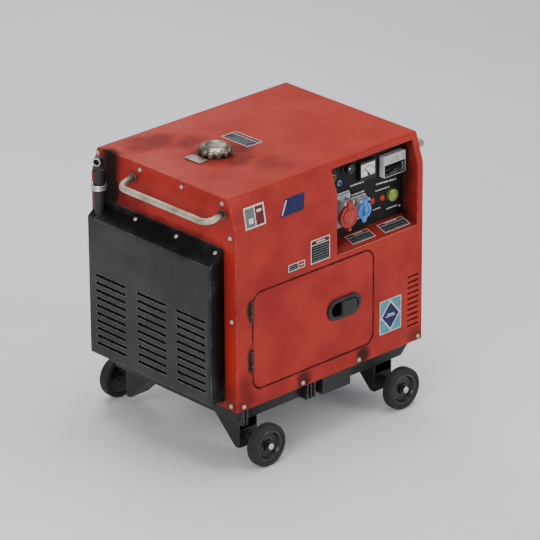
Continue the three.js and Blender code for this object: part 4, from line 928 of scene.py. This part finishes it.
def lifting_handle(name, shift, node, mirrored):
    mesh = bmesh.new()
    near, far = (end + shift for end in HANDLE_ENDS)
    grip = (-HANDLE_OUT - TUBE_GAP, HANDLE_LEVEL - HANDLE_DROP)
    corners = [(-TUBE_GAP, near, HANDLE_LEVEL), (grip[0], near, grip[1])]
    corners += [(grip[0], far, grip[1]), (-TUBE_GAP, far, HANDLE_LEVEL)]
    tube(mesh, arc_line(corners, TUBE_BEND, 14), TUBE_RADIUS, 36)
    for place in (near, far):
        spin(mesh, WASHER, (-1, 0, 0), (0, place, WASHER_LEVEL), 36)
    if mirrored:
        far_side(mesh)
    piece = canopy_piece(name, mesh, "canopy", "tube_steel")
    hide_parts(node)


lifting_handle("bent_handle_left", 0.0, "handle_left", False)
lifting_handle("bent_handle_right", WIDTH - sum(HANDLE_ENDS), "handle_right", True)
print("handles bent")

# %% [markdown]
# The exhaust leaves the end plate, turns upwards and widens into a sleeve, where a clamp holds the tail.
# The tail narrows to a closed dome, and its outlet is a short stub turned away from the canopy.

# %% Exhaust stack
PORT = 305.0
mesh = bmesh.new()
elbow = arc_line([(34, PIPE_Y, PORT), (PIPE_X, PIPE_Y, PORT), (PIPE_X, PIPE_Y, 352)], 24.0, 16)
tube(mesh, elbow, 12.5, 36)
STACK = [
    (0, 350), (12.3, 350), (12.5, 400), (13.2, 412), (14.6, 430), (15.0, 438), (15.0, 499), (15.6, 501.5),
    (16.0, 503.5), (16.0, 508.5), (15.0, 510.5), (12.6, 512.0), (12.0, 515), (11.8, 527), (11.2, 534),
    (9.8, 539.5), (7.2, 543.2), (3.6, 544.8), (0, 545),
]
spin(mesh, STACK, "z", (PIPE_X, PIPE_Y, 0), 48)
TAIL_LEVEL, TAIL_TURN = 533.0, math.radians(30)
outwards = (-math.cos(TAIL_TURN), -math.sin(TAIL_TURN), 0.0)
TAIL = [(7.4, 2.0), (7.4, 15.2), (10.2, 15.2), (10.2, 2.0)]
LIP = [(7.4, 15.0), (7.5, 16.0), (8.2, 16.6), (9.4, 16.6), (10.4, 15.8), (10.4, 14.6), (9.6, 14.0)]
spin(mesh, TAIL, outwards, (PIPE_X, PIPE_Y, TAIL_LEVEL), 40)
spin(mesh, LIP, outwards, (PIPE_X, PIPE_Y, TAIL_LEVEL), 40, 1)
stack = canopy_piece("exhaust_stack", mesh, "canopy", "exhaust_iron clamp_steel")
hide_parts("exhaust_pipe")
# A near-black disc inside the outlet paints the shade down the bore, partly soot.
mesh = bmesh.new()
spin(mesh, [(0, 12.3), (7.2, 12.3), (7.2, 13.0), (0, 13.0)], outwards, (PIPE_X, PIPE_Y, TAIL_LEVEL), 32)
canopy_piece("exhaust_bore_shade_and_soot", mesh, "canopy", "dark_void")
print("exhaust stack turned")

# %% [markdown]
# ## Fuel cap
# The cap is pressed from sheet: a scalloped rim for the fingers, a raised ring and a sunk centre. The rim
# is an outline whose radius swells twelve times round, lifted in rings that narrow towards the crown.

# %% A scalloped cap
CAP_STEPS, CAP_LOBES = 144, 12
CAP_RINGS = [
    (28.0, 553.6, 0.0), (38.4, 553.5, 1.5), (39.6, 554.6, 1.7), (39.6, 565.0, 1.7), (38.6, 568.6, 1.5),
    (36.6, 571.2, 0.9), (34.6, 572.4, 0.3), (33.0, 573.6, 0.0), (31.0, 575.8, 0.0), (28.0, 576.9, 0.0),
    (25.0, 576.9, 0.0), (22.6, 575.8, 0.0), (21.0, 574.6, 0.0), (12.0, 574.2, 0.0), (0.0, 574.2, 0.0),
]
mesh = bmesh.new()
rings = []
for radius, height, swell in CAP_RINGS:
    if radius == 0:
        rings.append([mesh.verts.new((CAP_X, CAP_Y, height))] * CAP_STEPS)
        continue
    ring = []
    for i in range(CAP_STEPS):
        angle = 2 * math.pi * i / CAP_STEPS
        lobe = math.cos(CAP_LOBES * angle)
        reach = radius + swell * (1.0 - 2.0 * max(0.0, -lobe) ** 0.7)
        place = (CAP_X + reach * math.cos(angle), CAP_Y + reach * math.sin(angle), height)
        ring.append(mesh.verts.new(place))
    rings.append(ring)
for ring, following in zip(rings, rings[1:]):
    for i in range(CAP_STEPS):
        j = (i + 1) % CAP_STEPS
        mesh.faces.new(list(dict.fromkeys((ring[i], ring[j], following[j], following[i]))))
lining = [(28.0, 553.6), (28.2, 561.6), (0, 561.6), (0, 562.6), (29.6, 562.6), (29.6, 554.2)]
spin(mesh, lining, "z", (CAP_X, CAP_Y, 0), 72)
cap = canopy_piece("pressed_cap", mesh, "cap", "cap_nickel", sharp=50)
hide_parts("fuel_cap")
print("cap pressed,", len(cap.data.polygons), "faces")

# %% [markdown]
# ## Screws
# The sheets are held by plated hexagon screws. One is a rubber seal, a flange, and a hexagon with its
# corners taken off and a slightly domed top; the same shape is put down wherever a sheet is held. The dark
# seal reaches just past the flange, so it is also a painted shadow ring round each head.


# %% Screws on rubber seals with painted shadow rings
def screw(mesh, place, facing, size):
    along = Vector(facing).normalized()
    # The dark rubber ring under the flange is a seal and also a painted shadow round the head.
    seal_and_shadow_ring = [(0, 0), (1.26, 0), (1.26, 0.05), (1.16, 0.1), (0, 0.1)]
    spin(mesh, [(r * size, rise * size) for r, rise in seal_and_shadow_ring], along, place, 24, 1)
    flange = [(0, 0), (1, 0), (1, 0.14), (0.92, 0.26), (0.8, 0.3), (0, 0.3)]
    spin(mesh, [(r * size, rise * size) for r, rise in flange], along, place, 24)
    head = [(0, 0.2), (0.76, 0.2), (0.76, 0.5), (0.66, 0.66), (0.44, 0.76), (0.2, 0.8), (0, 0.81)]
    spin(mesh, [(r * size, rise * size) for r, rise in head], along, place, 6)


def screws(name, places, facing, mirrored=False, size=5.8):
    mesh = bmesh.new()
    for place in places:
        screw(mesh, place, facing, size)
    if mirrored:
        far_side(mesh)
    canopy_piece(name, mesh, "canopy", "screw_zinc tyre_rubber", sharp=28)


SEAT = -0.1
FOOT_SCREWS = [(x, SEAT, 10.0) for x in (23.0, 220.0, 412.0, 619.0)]
END_SCREWS = [(SEAT, y, 537.0) for y in (45.0, 188.0, 338.0, 492.0)]
END_SCREWS += [(SEAT, 18.0, 455.0), (SEAT, 15.0, 238.0), (SEAT, 20.0, 12.0)]
END_SCREWS += [(SEAT, 504.0, z) for z in (455.0, 238.0, 12.0)]
screws("screws_front", FOOT_SCREWS, (0, -1, 0))
screws("screws_rear", FOOT_SCREWS, (0, -1, 0), mirrored=True)
screws("screws_left_end", END_SCREWS, (-1, 0, 0))
screws("screws_right_end", END_SCREWS, (-1, 0, 0), mirrored=True)
COVER_SLOPE, COVER_TOP, COVER_SCREW_OUT = (36.0, 45.0), 421.0, 14.0
screw_level = COVER_TOP - COVER_SCREW_OUT * COVER_SLOPE[0] / COVER_SLOPE[1] + 0.1
cover_top = [(-COVER_SCREW_OUT, y, screw_level) for y in (56.0, 195.0, 343.0)]
screws("screws_cover", cover_top, (-COVER_SLOPE[0], 0, COVER_SLOPE[1]), size=5.2)
PLATE_FRONT = 52.3
corner_spots = ((602.7, 354.6), (345.0, 526.0), (603.0, 526.0), (345.0, 345.0))
plate_corners = [(x, PLATE_FRONT - 0.2, z) for x, z in corner_spots]
screws("screws_panel", plate_corners, (0, -1, 0), size=3.4)
print("screws in")

# %% [markdown]
# ## Printed films
# Labels are thin films. Each is a list of flat shapes, laid one on another less than a tenth of a
# millimetre apart, and wrapped on the wall by a function that knows where the sheet is at each height. The
# films carry plain blocks and bars of colour and no lettering. One more film is a paler line along the
# console's front edge, a painted highlight.


# %% Films and the wall they lie on
SHELF_FRONT, SHELF_RISE, CONSOLE_DEPTH = 315.0, 18.0, 52.0


def wall(u, v, lift):
    """The door side: upright, then leaning in above the eaves."""
    lean = max(0.0, (v - EAVES) * SLOPE_IN / SLOPE_DROP)
    return (u, lean - lift, v + (lift * 0.3 if v > EAVES else 0.0))


def roof(u, v, lift):
    return (u, v, HEIGHT + lift)


def shelf(u, v, lift):
    return (u, v, SHELF_FRONT + SHELF_RISE * v / CONSOLE_DEPTH + lift)


def plate(u, v, lift):
    return (u, PLATE_FRONT - lift, v)


FILM_THICK, LAYER = 0.2, 0.06


def film(name, inks, shapes, surface):
    """shapes is a list of (ink number, outline); each lies on the ones before it."""
    mesh = bmesh.new()
    for layer, (ink_index, outline) in enumerate(shapes):
        flat = bmesh.new()
        flat.faces.new([flat.verts.new((u, v, 0)) for u, v in outline])
        if surface is wall and min(v for _, v in outline) < EAVES < max(v for _, v in outline):
            geometry = flat.verts[:] + flat.edges[:] + flat.faces[:]
            bmesh.ops.bisect_plane(flat, geom=geometry, plane_co=(0, EAVES, 0), plane_no=(0, 1, 0))
        lift = FILM_THICK + 0.05 + LAYER * layer
        for face in flat.faces:
            corners = [(vert.co.x, vert.co.y) for vert in face.verts]
            under = [mesh.verts.new(surface(u, v, lift - FILM_THICK)) for u, v in corners]
            over = [mesh.verts.new(surface(u, v, lift)) for u, v in corners]
            made = [mesh.faces.new(under), mesh.faces.new(over)]
            for i in range(len(corners)):
                j = (i + 1) % len(corners)
                made.append(mesh.faces.new((under[i], under[j], over[j], over[i])))
            for one in made:
                one.material_index = ink_index
        flat.free()
    canopy_piece(name, mesh, "canopy", inks)


def oblong(across, up, slant=0.0):
    """A rectangle; slant moves its top edge sideways."""
    (u0, u1), (v0, v1) = across, up
    return [(u0, v0), (u1, v0), (u1 + slant, v1), (u0 + slant, v1)]


def text_bars(across, rows, height, seed, ink_index):
    """Rows of short bars that stand for small print."""
    bars, turn = [], seed
    for level in rows:
        u = across[0]
        while u < across[1] - 3:
            turn = (turn * 37 + 11) % 101
            width = min(3.0 + turn % 9, across[1] - u)
            bars.append((ink_index, oblong((u, u + width), (level, level + height))))
            u += width + 1.6
    return bars


# %% Badges on the door side
film(
    "film_badge", "ink_white ink_grey ink_maroon",
    [
        (0, oblong((33, 99), (470, 521), 6)),
        (1, oblong((37, 66), (474, 517), 5)),
        (2, oblong((69, 95), (474, 517), 5)),
        (0, oblong((47, 62), (482, 494), 1.5)),
        (0, oblong((78, 92), (503, 509), 1)),
    ],
    wall,
)
film(
    "film_stripe", "ink_blue ink_white",
    [
        (0, [(146, 470), (222, 470), (238, 509), (172, 509)]),
        (1, [(150, 474), (154, 474), (177, 505), (173, 505)]),
    ],
    wall,
)
film(
    "film_rating", "ink_white ink_black ink_maroon ink_grey",
    [
        (0, oblong((248, 312), (317, 379))),
        (1, oblong((250.5, 309.5), (319.5, 364))),
        (2, oblong((250.5, 309.5), (366, 376.5))),
    ]
    + text_bars((266, 295), (369.5,), 3.5, 5, 0)
    + text_bars((254, 306), (323, 330, 337, 344, 351, 358), 2.6, 9, 3),
    wall,
)
film(
    "film_notice", "ink_white ink_black ink_red ink_grey",
    [
        (0, oblong((173, 228), (319, 338))),
        (1, oblong((175, 204), (321, 336))),
        (2, oblong((206, 226), (321, 336))),
    ]
    + text_bars((178, 201), (323.5, 330), 3.0, 3, 3)
    + text_bars((209, 224), (327,), 3.0, 6, 0),
    wall,
)
film(
    "film_diamond", "ink_teal ink_white ink_navy",
    [
        (1, oblong((484, 559), (53, 143))),
        (0, oblong((486, 557), (55, 141))),
        (1, [(521.5, 57), (556, 98), (521.5, 139), (487, 98)]),
        (2, [(521.5, 62.5), (551, 98), (521.5, 133.5), (492, 98)]),
        (1, oblong((505, 538), (95, 97.5))),
        (1, oblong((510, 533), (100, 102.5))),
    ],
    wall,
)
print("door side labelled")

# %% Roof, shelf and panel print
film(
    "film_roof", "ink_white ink_black ink_maroon ink_grey",
    [
        (0, oblong((262, 312), (237, 333))),
        (1, oblong((264, 298), (239, 331))),
        (2, oblong((300, 310), (239, 331))),
    ]
    + [(3, oblong((u, u + 2.4), (244 + 5 * (u % 3), 326 - 7 * (u % 4)))) for u in range(268, 298, 5)],
    roof,
)
for name, (u0, u1), (v0, v1), seed in (
    ("film_shelf_left", (405, 482), (13, 44), 4),
    ("film_shelf_right", (513, 600), (11, 42), 8),
):
    film(
        name, "ink_white ink_black ink_maroon ink_grey",
        [
            (0, oblong((u0, u1), (v0, v1))),
            (1, oblong((u0 + 1.5, u1 - 1.5), (v0 + 1.5, v1 - 9))),
            (2, oblong((u0 + 1.5, u1 - 1.5), (v1 - 8, v1 - 1.5))),
        ]
        + text_bars((u0 + 5, u1 - 5), (v0 + 4, v0 + 10, v0 + 16), 2.6, seed, 3)
        + text_bars((u0 + 24, u1 - 24), (v1 - 6,), 2.4, seed + 1, 0),
        shelf,
    )


def dashes(start, end, count, height):
    """Marks along a slightly falling row of print, from start to end."""
    (u0, v0), (u1, v1) = start, end
    pitch = (u1 - u0) / count
    made = []
    for i in range(count):
        width = pitch * (0.55 + 0.25 * ((i * 7) % 3) / 2)
        u = u0 + pitch * i
        v = v0 + (v1 - v0) * i / count
        made.append((0, oblong((u, u + width), (v - height / 2, v + height / 2))))
    return made


ROWS_OF_PRINT = (
    ((432, 454.5), (480, 454.5), 8, 4.0),
    ((520, 434), (591, 430), 11, 4.0),
    ((518, 417), (567, 416), 8, 3.2),
    ((435, 430), (480, 430), 7, 4.0),
    ((555, 359), (594, 359), 7, 3.2),
    ((508, 370), (536, 370), 4, 3.0),
)
panel_marks = [mark for row in ROWS_OF_PRINT for mark in dashes(*row)]
film("print_panel", "ink_white", panel_marks, plate)
# A paler strip along the shelf's front edge is a painted highlight.
shelf_edge = [(0, oblong((347, 607.5), (SHELF_FRONT - 1.1, SHELF_FRONT + 0.2)))]
film("shelf_edge_highlight", "edge_highlight_ink", shelf_edge, wall)
print("roof, shelf and panel labelled")

# %% [markdown]
# ## The control console
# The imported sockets, knob, meter and breaker are right in size but blank. What makes them read as the real
# things is small: a pale dial with a needle, a pointer dot on the knob, a black frame round the breaker's
# dark window, backing plates behind the sockets, and contacts down in their wells.

# %% Meter dial
PIVOT = Vector((485.0, 476.0))


def pointer(mesh, degrees, reach, half_widths, deep):
    """A bar that points away from the meter's pivot, with a half width at each end."""
    angle = math.radians(degrees)
    direction = Vector((math.cos(angle), math.sin(angle)))
    across = Vector((-direction.y, direction.x))
    (inner, outer), (foot, tip) = reach, half_widths
    corners = [PIVOT + direction * inner - across * foot, PIVOT + direction * outer - across * tip]
    corners += [PIVOT + direction * outer + across * tip, PIVOT + direction * inner + across * foot]
    push(mesh, [tuple(corner) for corner in corners], "y", *deep, 1)


mesh = bmesh.new()
push(mesh, rounded((459.4, 506.6), (472.0, 505.0), 1.5, 3), "y", 42.0, 43.3, 0)
for i in range(11):
    pointer(mesh, 150 - 12 * i, (19.0, 25.5 if i % 5 == 0 else 23.0), (0.9, 0.9), (41.7, 42.1))
pointer(mesh, 128, (0.0, 25.0), (1.6, 0.5), (41.2, 41.6))
turned(mesh, [(0, 40.6), (3.4, 40.6), (3.4, 42.2), (0, 42.2)], PIVOT, 24, 1)
brick(mesh, (459.4, 506.6), (41.5, 43.3), (466.0, 470.6), 2)
canopy_piece("meter_dial", mesh, "canopy", "dial_face ink_black black_plastic")
print("dial marked")

# %% [markdown]
# A white dot near the knob's rim is its pointer, so it rides with the knob. The pilot lamp is a small blue
# dome in a plated ring. Both are spun from a profile of a few points.

# %% Knob dot and lamp
KNOB, LAMP = (418.0, 509.0), (394.0, 474.0)
mesh = bmesh.new()
dot = [(0, 32.6), (2.2, 32.6), (2.6, 33.2), (2.6, 35.0), (0, 35.0)]
turned(mesh, dot, (KNOB[0] - 6.5, KNOB[1] + 3.0), 20)
canopy_piece("knob_dot", mesh, "knob", "ink_white")

ink("lamp_blue", (52, 96, 190), rough=0.18)
mesh = bmesh.new()
turned(mesh, [(0, 44.6), (2.4, 45.0), (4.4, 46.6), (5.0, 48.8), (5.0, 52.2), (0, 52.2)], LAMP, 28)
turned(mesh, [(5.1, 50.2), (7.0, 50.6), (7.4, 52.2), (5.1, 52.2)], LAMP, 28, 1)
canopy_piece("blue_lamp", mesh, "canopy", "lamp_blue clamp_steel")
print("meter, knob and lamp finished")

# %% Breaker window and grips
mesh = bmesh.new()
# The window's back sheet and its two dividers are near black, painted shade.
brick(mesh, (538.4, 599.6), (46.6, 47.0), (456.4, 479.6), 0)
for across, up in (
    ((534.0, 538.6), (452.8, 483.6)),
    ((599.4, 604.0), (452.8, 483.6)),
    ((538.6, 599.4), (452.8, 456.6)),
    ((538.6, 599.4), (479.4, 483.6)),
):
    brick(mesh, across, (35.7, 36.5), up, 1)
for x in (552.0, 586.0):
    brick(mesh, (x - 1.0, x + 1.0), (38.0, 46.9), (456.6, 479.4), 0)
canopy_piece("breaker_window", mesh, "canopy", "dark_void panel_black")
mesh = bmesh.new()
for x in (541.0, 597.0):
    turned(mesh, [(0, 35.2), (3.2, 35.2), (3.6, 35.8), (3.6, 36.6), (0, 36.6)], (x, 497.5), 24)
brick(mesh, (549.0, 589.0), (35.5, 36.3), (486.0, 503.0), 1)
for i in range(4):
    brick(mesh, (552.0, 586.0 - 7 * (i % 2)), (35.3, 35.6), (488.6 + 3.6 * i, 490.0 + 3.6 * i), 2)
canopy_piece("breaker_front", mesh, "canopy", "screw_zinc ink_white ink_grey", bevel=0.3)
mesh = bmesh.new()
brick(mesh, (560.0, 578.0), (29.2, 31.4), (464.2, 471.8), 0)
for i in range(5):
    brick(mesh, (561.5 + 3.4 * i, 562.9 + 3.4 * i), (28.6, 29.4), (464.6, 471.4), 0)
canopy_piece("toggle_grip", mesh, "lever", "black_plastic", bevel=0.4)
print("breaker finished")


# %% [markdown]
# Behind each flanged socket's upper half is a grey backing plate, where the lid's hinge sits. In the well are
# the contact tubes of a round industrial plug: spread evenly, with a larger earth contact at the foot.


# %% Sockets
RED_SOCKET, BLUE_SOCKET = (398.0, 394.0), (458.0, 390.0)
WELL_FLOOR = 44.2


def socket_detail(name, spot, across, up, well, front, contacts, reach):
    mesh = bmesh.new()
    push(mesh, rounded(across, up, 6), "y", 51.2, 52.2, 0)
    disc = [(0, WELL_FLOOR - 0.8), (well, WELL_FLOOR - 0.8), (well, WELL_FLOOR - 0.1), (0, WELL_FLOOR - 0.1)]
    turned(mesh, disc, spot, 40, 1)
    for i in range(contacts):
        angle = math.radians(-90 + 360 * i / contacts)
        size = 3.4 if i == 0 else 2.7
        ring = [(size - 0.8, front + 6), (size, front + 6)]
        ring += [(size, WELL_FLOOR - 0.5), (size - 0.8, WELL_FLOOR - 0.5)]
        place = (spot[0] + reach * math.cos(angle), spot[1] + reach * math.sin(angle))
        turned(mesh, ring, place, 20, 2)
    canopy_piece(name, mesh, "canopy", "grey_plastic black_plastic brass")


socket_detail("red_socket_contacts", RED_SOCKET, (368.5, 428.5), (388.0, 447.0), 20.6, 26.0, 5, 12.5)
socket_detail("blue_socket_contacts", BLUE_SOCKET, (432.6, 484.5), (382.0, 423.5), 15.6, 32.0, 3, 9.0)
print("contacts in their wells")

# %% Lids and weld sockets
mesh = bmesh.new()
raised = [(0, 17.9), (17.5, 17.9), (19.6, 18.5), (20.0, 20.6), (0, 20.6)]
turned(mesh, raised, RED_SOCKET, 60)
brick(mesh, (391.5, 404.5), (17.4, 21.0), (414.0, 431.0))
turned(mesh, [(0, 16.8), (4.0, 16.8), (5.0, 17.8), (5.0, 21.0), (0, 21.0)], (398.0, 360.0), 28)
canopy_piece("red_lid_relief", mesh, "red_lid", "red_plastic", bevel=0.7)
mesh = bmesh.new()
rim = [(13.0, 25.0), (14.2, 24.2), (15.6, 24.2), (16.8, 25.0), (16.8, 27.8), (13.0, 27.8)]
turned(mesh, rim, BLUE_SOCKET, 56)
brick(mesh, (450.8, 452.4), (24.4, 27.2), (372.0, 410.0))
brick(mesh, (455.6, 457.2), (24.4, 27.2), (372.0, 410.0))
brick(mesh, (451.5, 464.5), (24.0, 28.0), (404.0, 418.0))
canopy_piece("blue_lid_relief", mesh, "blue_lid", "blue_plastic", bevel=0.6)
mesh = bmesh.new()
for z, ring_ink in ((503.0, 1), (463.0, 2)):
    turned(mesh, [(4.4, 36.6), (6.8, 36.6), (6.8, 48.8), (4.4, 48.8)], (360.0, z), 36)
    turned(mesh, [(14.0, 45.2), (16.9, 45.2), (16.9, 46.4), (14.0, 46.4)], (360.0, z), 48, ring_ink)
canopy_piece("weld_socket_inserts", mesh, "canopy", "brass ink_red ink_black")
mesh = bmesh.new()
for x, z, radius in ((503.0, 396.0, 8.7), (538.0, 394.5, 8.7), (573.0, 393.0, 16.5)):
    bezel = [(radius + 1.0, 50.6), (radius + 3.2, 51.0), (radius + 3.8, 52.2), (radius + 1.0, 52.2)]
    turned(mesh, bezel, (x, z), 48)
canopy_piece("button_bezels", mesh, "canopy", "black_plastic")
print("sockets, lids and buttons finished")

# %% [markdown]
# ## Behind the slots
# Sound-proof canopies have baffles behind their air slots. Without them one would look straight through
# the machine, so each slotted field gets a thin sheet a little way behind it. It is red behind the few slots
# of the door side; behind the others it is near black, painted shade for the dark inside of the canopy.

# %% Baffles
mesh = bmesh.new()
brick(mesh, (-35.0, -33.0), (50, 476), (28, 250))
canopy_piece("shade_baffle_cover", mesh, "canopy", "dark_void")
mesh = bmesh.new()
brick(mesh, (572.0, 614.5), (4.0, 6.0), (40, 192), 1)
brick(mesh, (30.0, 150.0), (WIDTH - 9.0, WIDTH - 7.0), (52, 218))
brick(mesh, (482.0, 602.0), (WIDTH - 9.0, WIDTH - 7.0), (52, 218))
brick(mesh, (LENGTH - 20.0, LENGTH - 18.5), (40, 480), (150, 345))
canopy_piece("shade_baffle_canopy", mesh, "canopy", "dark_void canopy_red")
mesh = bmesh.new()
brick(mesh, (20.0, 22.0), (60, 300), (40, 240))
canopy_piece("shade_baffle_end", mesh, "canopy", "dark_void")
print("slots backed")

# %% [markdown]
# ## The floor
# The floor goes down last.

# %% Floor
floor_mesh = bpy.data.meshes.new("floor")
floor_mesh.from_pydata([(-30, -30, 0), (30, -30, 0), (30, 30, 0), (-30, 30, 0)], [], [(0, 1, 2, 3)])
floor = bpy.data.objects.new("floor", floor_mesh)
bpy.context.scene.collection.objects.link(floor)
floor_paint = bpy.data.materials.new("floor_paint")
floor_paint.use_nodes = True
shader = floor_paint.node_tree.nodes["Principled BSDF"]
mottle = shared(floor_paint.node_tree, weather, Scale=1.5)["Blotch"]
tone = blend(floor_paint.node_tree, mottle, colour(249, 249, 250), colour(245, 245, 247))
floor_paint.node_tree.links.new(tone, shader.inputs["Base Color"])
shader.inputs["Roughness"].default_value = 0.7
floor_mesh.materials.append(floor_paint)
